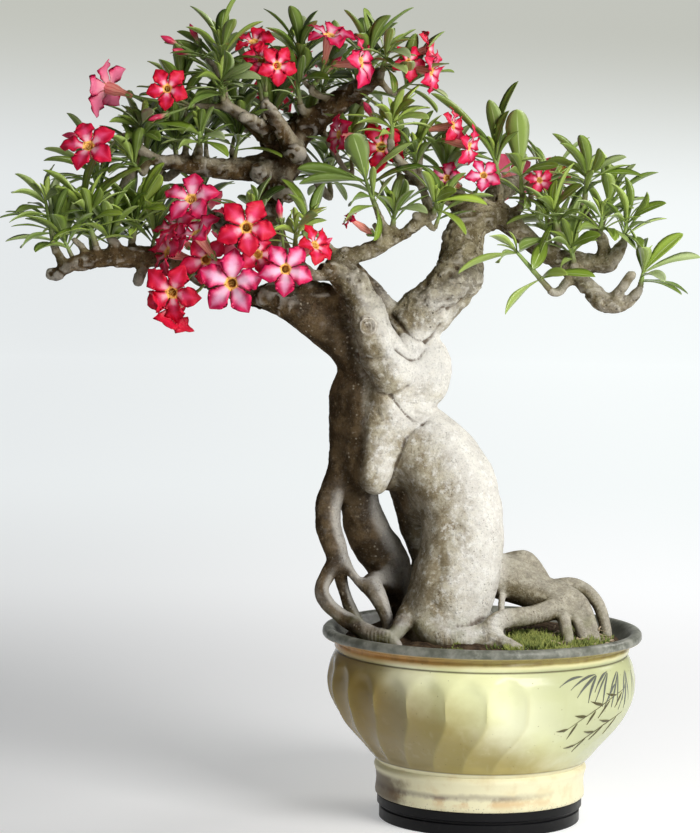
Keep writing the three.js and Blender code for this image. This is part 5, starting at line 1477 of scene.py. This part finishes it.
class Finish:
    """A material, and the nodes that its colours and bumps come from."""

    def __init__(self, name, roughness, **constants):
        self.material = bpy.data.materials.new(name)
        self.material.use_nodes = True
        self.tree = self.material.node_tree
        self.shader = self.tree.nodes["Principled BSDF"]
        self.colour = None
        self.give("Roughness", roughness)
        for key, value in constants.items():
            self.give(key.replace("_", " "), value)

    def feed(self, socket, value):
        """Links a signal to a socket, or sets the socket's own value."""
        if isinstance(value, Signal):
            self.tree.links.new(value.socket, socket)
        elif isinstance(value, tuple) and socket.type == "RGBA":
            socket.default_value = (*value, 1)
        else:
            socket.default_value = value

    def give(self, name, value):
        """Sets or links an input of the shader."""
        self.feed(self.shader.inputs[name], value)

    def node(self, kind, settings, inputs, output=0):
        """Adds a node with its settings and inputs, and gives one of its outputs."""
        made = self.tree.nodes.new("ShaderNode" + kind)
        for key, value in settings.items():
            setattr(made, key, value)
        for key, value in inputs.items():
            self.feed(made.inputs[key], value)
        return Signal(self, made.outputs[output])

    def place(self, stretch=(1, 1, 1)):
        """Where on the object a spot is, in millimetres, each axis times its stretch."""
        where = self.node("TexCoord", {}, {}, "Object")
        scale = tuple(part / MM for part in stretch)
        return self.node("VectorMath", {"operation": "MULTIPLY"}, {0: where, 1: scale})

    def axes(self):
        """X, y and z of a spot, in millimetres."""
        parts = self.node("SeparateXYZ", {}, {0: self.place()})
        return parts, parts.other(1), parts.other(2)

    def strip(self):
        """How far across and along its leaf, lobe or stem a spot is."""
        parts = self.node("SeparateXYZ", {}, {0: self.node("UVMap", {"uv_map": "along"}, {})})
        return parts, parts.other(1)

    def fact(self, name):
        """A value that the mesh carries."""
        return self.node("Attribute", {"attribute_name": name}, {}, 2)

    def noise(self, size, detail=3, stretch=(1, 1, 1), roughness=0.5):
        """Cloudy noise from 0 to 1 with patches of about a size in millimetres."""
        inputs = {"Vector": self.place(stretch), "Scale": 1 / size}
        inputs |= {"Detail": detail, "Roughness": roughness}
        return self.node("TexNoise", {}, inputs)

    def cells(self, size):
        """The distance from the middle of irregular cells, as a share of their size."""
        return self.node("TexVoronoi", {}, {"Vector": self.place(), "Scale": 1 / size})

    def mix(self, share, low, high):
        """A colour between two, at a share of the way."""
        return self.node("Mix", {"data_type": "RGBA"}, {0: share, 6: low, 7: high}, 2)

    def lay(self, share, over):
        """Lays one more colour over the finish's own, at a share of 0 to 1."""
        self.colour = self.mix(share, self.colour, over)

    def bump(self, height, distance, strength=1):
        """Makes the surface look raised by a height of 0 to 1 times a distance in millimetres."""
        inputs = {"Strength": strength, "Distance": distance * MM, "Height": height}
        self.give("Normal", self.node("Bump", {}, inputs))


# In the finishes, places and sizes are millimetres on the object, and colours are red, green and blue.


def bark_finish():
    """Pale grainy skin with a painted highlight where it faces the key light and painted shade where
    it faces away; olive-brown and pitted on the upper limbs; dark brown on the lobes, legs and limbs at
    the left, partly its own colour and partly painted shade; painted shade in the crown, in every fold
    and in the dents, and a painted highlight on the crests."""
    f = Finish("bark", 0.9, Specular_IOR_Level=0.08)
    x, y, z = f.axes()
    girth, sunk, rings = f.fact("girth"), f.fact("sunk"), f.fact("rings")
    hidden, sunny = f.fact("hidden"), f.fact("sunny")
    broad = f.noise(42, 3)
    patch = f.noise(17, 4, roughness=0.6)
    fine = f.noise(7, 5, roughness=0.7)
    uneven, grain = broad - 0.5, fine - 0.5
    shift = uneven * 40
    rough = f.noise(3.6, 4, roughness=0.7)
    crackle = f.noise(2.1, 5, roughness=0.75)
    pale = f.mix(patch.past(0.38, 0.64), (0.33, 0.272, 0.168), (0.60, 0.555, 0.425))
    pale = f.mix(fine.past(0.50, 0.66) * 0.7, pale, (0.84, 0.82, 0.74))
    pale = f.mix(rough.past(0.47, 0.36) * 0.55, pale, (0.235, 0.18, 0.105))
    olive = f.mix(patch.past(0.36, 0.64), (0.082, 0.063, 0.027), (0.255, 0.215, 0.118))
    olive = f.mix(fine.past(0.54, 0.70) * 0.7, olive, (0.55, 0.50, 0.36))
    olive = f.mix(rough.past(0.46, 0.36) * 0.6, olive, (0.062, 0.046, 0.020))
    dark = f.mix(patch.past(0.40, 0.66), (0.033, 0.018, 0.006), (0.105, 0.065, 0.027))
    dark = f.mix(fine.past(0.60, 0.72) * 0.55, dark, (0.27, 0.20, 0.11))
    f.colour = f.mix((z + shift).past(445, 500) * 0.85, pale, olive)
    f.lay(z.near(430, 66) * broad.past(0.60, 0.40) * 0.6, olive)
    roots = x.past(5, 30) * z.past(285, 250)
    root_skin = f.mix(fine.past(0.4, 0.6), (0.15, 0.122, 0.062), (0.32, 0.28, 0.175))
    f.lay(roots * 0.8, root_skin)
    # Painted shade on the roots where they face away from the key light.
    f.lay(roots * sunny.past(0.25, -0.25) * 0.6, (0.085, 0.066, 0.028))
    # Painted shade where the bark faces away from the key light.
    shaded = (sunny + uneven * 0.5 + grain * 0.4).past(0.20, -0.45)
    f.lay(shaded * 0.6, dark)
    # Painted highlight where the bark faces the key light, below the crown.
    painted_highlight = (sunny + uneven * 0.3 + grain * 0.9).past(0.10, 0.75) * z.past(540, 440)
    f.lay(painted_highlight * (1 - roots * 0.7) * 0.62, (0.90, 0.90, 0.875))
    # Dark brown on the left mass, at the joint and low on the left, partly the bark's own colour and partly
    # painted shade; on the legs behind the front leg it is painted shade. It is thinned where the painted
    # highlight is strongest.
    lift = (z - 400).math("MAXIMUM", 0) * 0.24
    left = (shift * 0.5 - x - lift).past(107, 120) * (1 - (z - y).past(700, 760) * 0.3)
    behind = y.past(-27, -13) * (-x).past(62, 78) * z.past(325, 306)
    joint = y.past(-14, 2) * (-x).past(86, 106) * z.past(398, 415)
    low_left = (-x - y * 0.4).past(84, 100) * z.past(258, 236) * 0.8
    brown = left.math("MAXIMUM", behind).math("MAXIMUM", joint).math("MAXIMUM", low_left) * 0.94
    brown = brown * (1 - painted_highlight * sunny.past(0.5, 0.9) * 0.5)
    f.lay(brown, dark)
    # Painted shade on the bark under the foliage of the crown, and a painted highlight where the crown's
    # limbs face the key light.
    crown = (z - 0.12 * x).past(580, 640)
    f.lay(crown * 0.9, dark)
    lit = crown * (sunny + grain * 0.9).past(0.45, 1) * 0.55
    f.lay(lit, (0.50, 0.445, 0.32))
    f.lay(crackle.past(0.47, 0.36) * 0.5, f.colour.dimmed(0.42))
    f.lay(crackle.past(0.56, 0.70) * 0.35 * (1 - brown * 0.7), (0.86, 0.83, 0.74))
    # Painted shade deep in the folds.
    f.lay(hidden.past(1.2, 6) * 0.75, (0.075, 0.046, 0.022))
    dents = f.cells(5.2).past(0.26, 0.14) * f.noise(15, 2).past(0.48, 0.60) * z.past(440, 480)
    f.lay(dents * 0.8, (0.055, 0.040, 0.020))
    specks = f.cells(3.1).past(0.27, 0.12) * f.noise(16, 2).past(0.5, 0.64)
    f.lay(specks * 0.6 * z.past(470, 250), (0.13, 0.085, 0.055))
    spots = f.cells(4.6).past(0.30, 0.08) * f.noise(21, 3).past(0.52, 0.62)
    f.lay(spots * 0.45, (0.62, 0.55, 0.42))
    green = (z.past(210, 182) * f.noise(20, 3).past(0.42, 0.62)) * 0.4
    f.lay(green, (0.18, 0.20, 0.07))
    # Darker low on the roots, near the soil.
    near_soil_dark = z.past(182, 171) * 0.55
    f.lay(near_soil_dark, (0.10, 0.075, 0.045))
    # Painted shade in the dents, and a painted highlight on the crests.
    f.lay(sunk.past(0.3, 1.8) * 0.8, (0.085, 0.055, 0.032))
    f.lay(sunk.past(-0.4, -1.2) * 0.3, (0.84, 0.80, 0.71))
    ringed = f.mix(rings.past(0.5, 0.9), (0.22, 0.17, 0.11), (0.72, 0.68, 0.58))
    f.lay(rings * 0.75, ringed)
    twiggy = girth.past(7, 3.5) * z.past(480, 520)
    f.lay(twiggy * 0.4, (0.21, 0.18, 0.09))
    f.give("Base Color", f.colour)
    f.bump(fine * 0.8 + rough * 0.6 + crackle * 0.5 + patch * 0.5 - specks * 0.4 - dents * 0.6, 1.8, 1)
    return f


def leaf_finish():
    """Glossy green blade with a pale rib, faint side veins and a thin pale edge; dull underneath. Its
    green varies at random, some blades carry a whitish painted highlight, and fresh leaves are
    yellow-green, on the shoots at the right partly as painted light.
    """
    f = Finish("leaf", 0.36, Specular_IOR_Level=0.35, Coat_Weight=0.35, Coat_Roughness=0.16)
    across, along = f.strip()
    under, tone, young = f.fact("under"), f.fact("tone"), f.fact("young")
    blotch = f.noise(14, 2)
    top = f.mix(tone, (0.010, 0.042, 0.003), (0.170, 0.275, 0.022))
    # A whitish painted highlight on the palest blades.
    top = f.mix(tone.past(0.52, 0.90) * 0.85, top, (0.62, 0.72, 0.42))
    top = f.mix(blotch.past(0.35, 0.7) * 0.3, top, (0.26, 0.37, 0.05))
    # Yellow-green on fresh leaves; on the shoots at the right this is partly painted light.
    top = f.mix(young, top, (0.40, 0.55, 0.070))
    rib = abs(across).past(0.085, 0.02) * along.past(1, 0.75)
    wave = abs((along * 9 - abs(across) * 2.2).fraction() - 0.5)
    veins = wave.past(0.09, 0) * abs(across).past(0.98, 0.7)
    edge = abs(across).past(0.93, 1)
    top = f.mix(veins * 0.22, top, (0.30, 0.42, 0.12))
    top = f.mix(rib * 0.8, top, (0.56, 0.67, 0.32))
    top = f.mix(edge * 0.4, top, (0.42, 0.50, 0.16))
    below = f.mix(young, (0.16, 0.24, 0.045), (0.40, 0.51, 0.11))
    below = f.mix(rib * 0.8, below, (0.44, 0.55, 0.24))
    f.give("Base Color", f.mix(under, top, below))
    f.give("Roughness", 0.30 + under * 0.24)
    f.bump(rib * 0.6 + veins * 0.25, 0.35, 0.6)
    return f


def stem_finish():
    """Green young stem, greyer and barky at its foot."""
    f = Finish("stem", 0.5)
    _, along = f.strip()
    patch = f.noise(5, 3)
    colour = f.mix((along + patch * 0.3).past(0.15, 0.75), (0.17, 0.145, 0.075), (0.22, 0.32, 0.07))
    f.give("Base Color", f.mix(patch.past(0.55, 0.75) * 0.4, colour, (0.36, 0.34, 0.17)))
    f.bump(patch, 0.4, 0.5)
    return f


def petal_finish():
    """Yellow throat, a white-pink middle, and crimson towards the edges and the tip; paler behind."""
    f = Finish("petal", 0.5, Specular_IOR_Level=0.25)
    across, along = f.strip()
    outside, tone = f.fact("outside"), f.fact("tone")
    ragged = (f.noise(3.5, 3) - 0.5) * 0.22
    streak = (abs(across * 7 + ragged * 3).fraction() - 0.5)
    width = abs(across)
    deep = (along * 0.85 + width * 0.75 + ragged - tone * 0.22).past(0.20, 0.86)
    crimson = f.mix(tone, (0.60, 0.002, 0.022), (0.68, 0.008, 0.100))
    inner = f.mix(deep, f.mix(tone, (0.82, 0.045, 0.16), (0.86, 0.24, 0.46)), crimson)
    middle = (along + ragged - tone * 0.20).past(0.34, 0.12) * width.past(0.72, 0.15)
    inner = f.mix(middle * 0.75, inner, (0.95, 0.62, 0.68))
    lilac = tone.past(0.6, 0.95) * (width + ragged).past(0.55, 0.05) * (along + ragged).past(0.90, 0.40)
    inner = f.mix(lilac * 0.65, inner, (0.91, 0.56, 0.76))
    inner = f.mix(abs(streak).past(0.12, 0) * 0.16, inner, (0.66, 0.02, 0.10))
    inner = f.mix((along + ragged * 0.2).past(0.105, 0.02), inner, (0.93, 0.58, 0.10))
    inner = f.mix((width + ragged * 0.5).past(0.80, 1) * 0.45, inner, (0.58, 0.003, 0.060))
    behind = f.mix(tone, (0.68, 0.010, 0.045), (0.84, 0.22, 0.37))
    behind = f.mix((width + ragged).past(0.35, 1) * 0.7, behind, crimson)
    behind = f.mix((along + ragged).past(0.45, 0.1) * 0.5, behind, (0.90, 0.50, 0.52))
    f.give("Base Color", f.mix(outside, inner, behind))
    f.bump(f.noise(3.4, 2) + abs(streak) * 0.5, 0.5, 0.5)
    return f


def tube_finish():
    """Salmon tube with red streaks along it, and a yellow-orange throat inside."""
    f = Finish("tube", 0.5)
    across, along = f.strip()
    inside = f.fact("inside")
    stripes = abs((across * 10 + f.noise(6, 2) * 0.8).fraction() - 0.5)
    skin = f.mix(along, (0.70, 0.30, 0.17), (0.87, 0.30, 0.30))
    skin = f.mix(stripes.past(0.22, 0.05) * 0.6, skin, (0.60, 0.055, 0.07))
    throat = f.mix(stripes.past(0.14, 0.03) * 0.5, (0.88, 0.50, 0.14), (0.62, 0.07, 0.05))
    f.give("Base Color", f.mix(inside, skin, throat))
    return f


def bud_finish():
    """Crimson spindle with darker twisted furrows and a pale green-cream base."""
    f = Finish("bud", 0.42)
    across, along = f.strip()
    furrow = abs((across * 5 + along * 1.2).fraction() - 0.5).past(0.16, 0.02)
    colour = f.mix(along.past(0.12, 0.55), (0.58, 0.52, 0.30), (0.74, 0.03, 0.115))
    colour = f.mix(furrow * 0.5 * along.past(0.2, 0.5), colour, (0.36, 0.004, 0.04))
    f.give("Base Color", colour)
    return f


def glaze_finish():
    """Crackled celadon glaze, olive-brown low on the left, partly its own colour and partly painted
    shade on the side away from the lamp, with a pale band on the neck's bead that is partly a painted
    highlight, painted shade in the grooves of the neck and waist, an ochre band under a worn grey rim
    and a stained, speckled foot."""
    f = Finish("glaze", 0.24, Specular_IOR_Level=0.22, Coat_Weight=0.06, Coat_Roughness=0.10)
    x, _, z = f.axes()
    broad = f.noise(60, 3)
    cloud = f.noise(18, 4, roughness=0.6)
    fine = f.noise(4.5, 3)
    streaks = f.noise(9, 3, (1, 1, 0.16))
    ragged = cloud - 0.5
    f.colour = f.mix(broad.past(0.35, 0.66), (0.78, 0.80, 0.46), (0.89, 0.90, 0.63))
    f.lay((x + (z - 110) * 0.5 + broad * 50).past(35, 120) * 0.8, (0.42, 0.45, 0.24))
    # Olive-brown low down, darker towards the left: partly the glaze's own colour, partly painted shade on
    # the side away from the lamp.
    low = (z + x * 0.55 + ragged * 16 + (broad - 0.5) * 40).past(134, 76)
    brown = f.mix(x.past(-110, 10), (0.130, 0.070, 0.006), (0.32, 0.24, 0.042))
    f.lay(low * 0.85, brown)
    f.lay(streaks.past(0.58, 0.76) * 0.06, (0.90, 0.86, 0.66))
    # Browner at the far left: partly the glaze's own colour, partly painted shade.
    f.lay((cloud * 36 - x).past(88, 146) * 0.70, (0.27, 0.175, 0.020))
    ridge = f.fact("ridge")
    f.lay(ridge * 0.30, (0.40, 0.35, 0.13))
    # A pale yellow band on the neck's bead, lighter on the right: partly the glaze's colour, partly a
    # painted highlight where the lamp falls.
    yellow = f.mix((-x).past(-20, 90), (0.86, 0.80, 0.42), (0.52, 0.30, 0.080))
    f.lay((z + ragged * 2).near(167, 7) * 0.8, yellow)
    band = (z + ragged * 2.2).past(164.5, 167)
    ochre = f.mix(x.past(-90, 20), (0.44, 0.22, 0.060), (0.31, 0.24, 0.055))
    ochre = f.mix(streaks.past(0.42, 0.64) * 0.5, ochre, (0.19, 0.11, 0.030))
    f.lay(band * 0.85, ochre)
    # Painted shade: dark lines in the neck's groove and at the waist above the foot.
    groove = z.near(159.6, 1.5) + (z + ragged * 1).near(58.6, 2.4)
    f.lay(groove * 0.85, (0.075, 0.060, 0.030))
    foot = z.past(60, 58)
    foot_colour = f.mix(cloud.past(0.45, 0.66), (0.77, 0.73, 0.50), (0.72, 0.65, 0.42))
    worn_line = (z + ragged * 9 - x * 0.02).near(36.5, 4.8) * x.past(85, -10)
    foot_colour = f.mix(worn_line * (0.45 + cloud.past(0.4, 0.6) * 0.4), foot_colour, (0.13, 0.10, 0.105))
    orange = cloud.past(0.44, 0.6) * z.near(31, 6) * x.past(105, 10)
    foot_colour = f.mix(orange * 0.6, foot_colour, (0.62, 0.40, 0.19))
    stain = ((-x) + cloud * 34).past(80, 104) * z.past(50, 44) * 0.85
    foot_colour = f.mix(stain, foot_colour, (0.10, 0.062, 0.032))
    dirt = f.cells(2.6).past(0.32, 0.16) * (z + cloud * 8).past(34, 26)
    foot_colour = f.mix(dirt * 0.75, foot_colour, (0.085, 0.06, 0.04))
    f.lay(foot, foot_colour)
    rim = (z + ragged * 1.2).past(173.4, 174.8)
    rim = rim.math("MAXIMUM", f.fact("inner"))
    rim_colour = f.mix(cloud.past(0.35, 0.7), (0.105, 0.112, 0.088), (0.27, 0.275, 0.235))
    worn = (fine * 0.5 + f.noise(26, 2) * 0.8).past(0.68, 0.95) * z.past(172, 176)
    f.lay(rim, f.mix(worn * 0.7, rim_colour, (0.36, 0.37, 0.32)))
    pits = f.cells(7.5).past(0.085, 0.035) * z.past(60, 62)
    f.lay(pits * 0.7, (0.14, 0.105, 0.05))
    f.give("Base Color", f.colour)
    f.give("Roughness", 0.22 + rim * 0.20 + foot * 0.20 + cloud.past(0.6, 0.8) * 0.12)
    f.bump(cloud * 0.5 + fine * 0.3 - pits, 0.5, 0.4)
    return f


def lacquer_finish():
    """Black lacquer with a little wear."""
    f = Finish("lacquer", 0.34, Specular_IOR_Level=0.16, Coat_Weight=0.05, Coat_Roughness=0.2)
    wear = f.noise(7, 4)
    f.give("Base Color", f.mix(wear.past(0.62, 0.8) * 0.5, (0.004, 0.004, 0.005), (0.022, 0.021, 0.022)))
    f.give("Roughness", 0.30 + wear * 0.2)
    return f


def soil_finish():
    """Dark crumbly earth."""
    f = Finish("soil", 0.95, Specular_IOR_Level=0.1)
    grain = f.noise(2.4, 4, roughness=0.7)
    clump = f.noise(11, 3)
    colour = f.mix(clump.past(0.35, 0.65), (0.045, 0.030, 0.019), (0.12, 0.082, 0.050))
    f.give("Base Color", f.mix(grain.past(0.6, 0.75) * 0.5, colour, (0.26, 0.19, 0.12)))
    f.bump(grain + clump, 1.6, 1)
    return f


def moss_finish():
    """Moss tufts, lighter to their tips."""
    f = Finish("moss", 0.8)
    tone, tip = f.fact("tone"), f.fact("tip")
    colour = f.mix(tone, (0.030, 0.055, 0.008), (0.15, 0.19, 0.025))
    f.give("Base Color", f.mix(tip * 0.7, colour, f.mix(tone, (0.11, 0.17, 0.02), (0.48, 0.50, 0.14))))
    return f


def plain_finish(name, colour, roughness):
    """One flat colour."""
    f = Finish(name, roughness)
    f.give("Base Color", colour)
    return f


def backdrop_finish():
    """A pale wall and floor that glow and light the tree from behind; their glow is painted light, grey
    at the wall's top and white low on the right, darker on the floor at the left, and dim far to either
    side and high up."""
    f = Finish("backdrop", 0.9)
    x, y, z = f.axes()
    low = f.mix(x.past(-800, 400), (0.66, 0.67, 0.675), (0.97, 0.975, 0.98))
    middle = f.mix(x.past(-1100, 700), (0.78, 0.81, 0.82), (0.92, 0.96, 0.96))
    glow = f.mix(y.past(900, 3200), low, middle)
    glow = f.mix((z + x * 0.03).past(400, 1060), glow, (0.52, 0.53, 0.48))
    wall = z.past(0, 50).math("MAXIMUM", y.past(350, 1700))
    seen = abs(x + 130).past(3400, 1700) * z.past(4200, 2400)
    glow = f.mix(seen, (0.12, 0.12, 0.12), glow)
    floor_glow = f.mix(x.past(-700, 300), (0.20, 0.205, 0.21), (0.42, 0.425, 0.43))
    f.give("Base Color", f.mix(wall, (0.72, 0.725, 0.73), (0.10, 0.10, 0.10)))
    f.give("Emission Color", f.mix(wall, floor_glow, glow))
    f.give("Emission Strength", 0.97)
    return f


def look_from(place, right, up):
    """A world matrix for a camera or lamp at a place, from its own right and up directions."""
    right = unit(np.array(right, float))
    back = unit(np.cross(right, up))
    up = np.cross(back, right)
    matrix = Matrix(np.column_stack([right, up, back]).tolist()).to_4x4()
    matrix.translation = Vector(place)
    return matrix


def add_lamp(name, place, size, watts, colour):
    """A soft square lamp that faces the middle of the tree."""
    lamp = bpy.data.lights.new(name, "AREA")
    lamp.size = size
    lamp.energy = watts
    lamp.color = colour
    back = unit(place - LAMP_TARGET)
    right = unit(np.cross(UP, back))
    add_object(name, lamp).matrix_world = look_from(place, right, np.cross(back, right))


# The backdrop, in metres: how far it reaches to either side and forward, how far behind its wall
# stands, how high that is, and the radius of the bend between floor and wall.
BACKDROP_REACH = 16
WALL_PLACE = 8.0
WALL_HEIGHT = 9
WALL_BEND = 1.5


def make_backdrop():
    """A pale floor that curves up into a wall behind."""
    turn = np.linspace(0, np.pi / 2, 17)
    bent = WALL_PLACE - WALL_BEND + WALL_BEND * np.sin(turn)
    y = np.concatenate([[-BACKDROP_REACH, 0], bent, [WALL_PLACE]])
    z = np.concatenate([[0, 0], WALL_BEND - WALL_BEND * np.cos(turn), [WALL_HEIGHT]])
    x = np.array([-BACKDROP_REACH, BACKDROP_REACH])
    points = np.stack([np.tile(x, len(y)), np.repeat(y, 2), np.repeat(z, 2)], 1)
    mesh = bpy.data.meshes.new("backdrop")
    mesh.from_pydata(points, [], sheet_faces(len(y), 2).tolist())
    mesh.polygons.foreach_set("use_smooth", [True] * len(mesh.polygons))
    mesh.materials.append(backdrop_finish().material)
    add_object("backdrop", mesh)


leaf = leaf_finish()
stem_green = stem_finish()
petal = petal_finish()
trumpet = tube_finish()
bud_skin = bud_finish()
anther = plain_finish("anther", (0.86, 0.60, 0.16), 0.6)
bark = bark_finish()
glaze = glaze_finish()
lacquer = lacquer_finish()
earth = soil_finish()
moss_green = moss_finish()
rootlet = plain_finish("rootlet", (0.42, 0.33, 0.22), 0.8)
grey_ink = plain_finish("grey_ink", (0.115, 0.125, 0.105), 0.4)
olive_ink = plain_finish("olive_ink", (0.078, 0.066, 0.014), 0.4)

make_stand()
make_pot()
make_soil()
make_tree()
make_moss()
make_rootlets()
make_brushwork()
for i, (name, (root, blooms, buds)) in enumerate(SPRAYS.items()):
    make_spray(name, root, blooms, buds, SEED_STEP * i)
for i, (name, (foot, top, listed)) in enumerate((SHOOTS | FILL_SHOOTS).items()):
    make_shoot(name, foot, top, listed, SHOOT_SEED + SEED_STEP * i)

make_backdrop()

# Lamps: place and size in metres, watts and colour
LAMPS = {
    "key": ((1.0, -1.45, 1.2), 1.0, 42, (1.0, 0.985, 0.965)),
    "rim": ((1.3, 0.9, 1.3), 0.8, 12, (1.0, 0.99, 0.97)),
}
LAMP_TARGET = np.array([-0.1, 0, 0.4])
SKY_COLOUR = (0.97, 0.96, 0.93, 1)
SKY_STRENGTH = 0.12
for name, facts in LAMPS.items():
    add_lamp(name, *facts)
world = bpy.data.worlds.new("studio")
bpy.context.scene.world = world
world.use_nodes = True
sky = world.node_tree.nodes["Background"]
sky.inputs["Color"].default_value = SKY_COLOUR
sky.inputs["Strength"].default_value = SKY_STRENGTH
bpy.context.scene.view_settings.view_transform = "Standard"

# The camera: its place in metres, how far it looks down and leans over, and its lens in millimetres
CAMERA_PLACE = (-0.12769, -3.09578, 0.63827)
PITCH = math.radians(4.77)
ROLL = math.radians(0.8)
SENSOR_WIDTH = 36
LENS = 169.71
camera_data = bpy.data.cameras.new("camera")
camera_data.sensor_fit = "HORIZONTAL"
camera_data.sensor_width = SENSOR_WIDTH
camera_data.lens = LENS
camera = add_object("camera", camera_data)
bpy.context.scene.camera = camera
level_up = np.array([0, math.sin(PITCH), math.cos(PITCH)])
level_right = np.array([1.0, 0.0, 0.0])
camera_right = spoke(level_right, level_up, ROLL)
camera_up = spoke(level_up, -level_right, ROLL)
camera.matrix_world = look_from(CAMERA_PLACE, camera_right, camera_up)
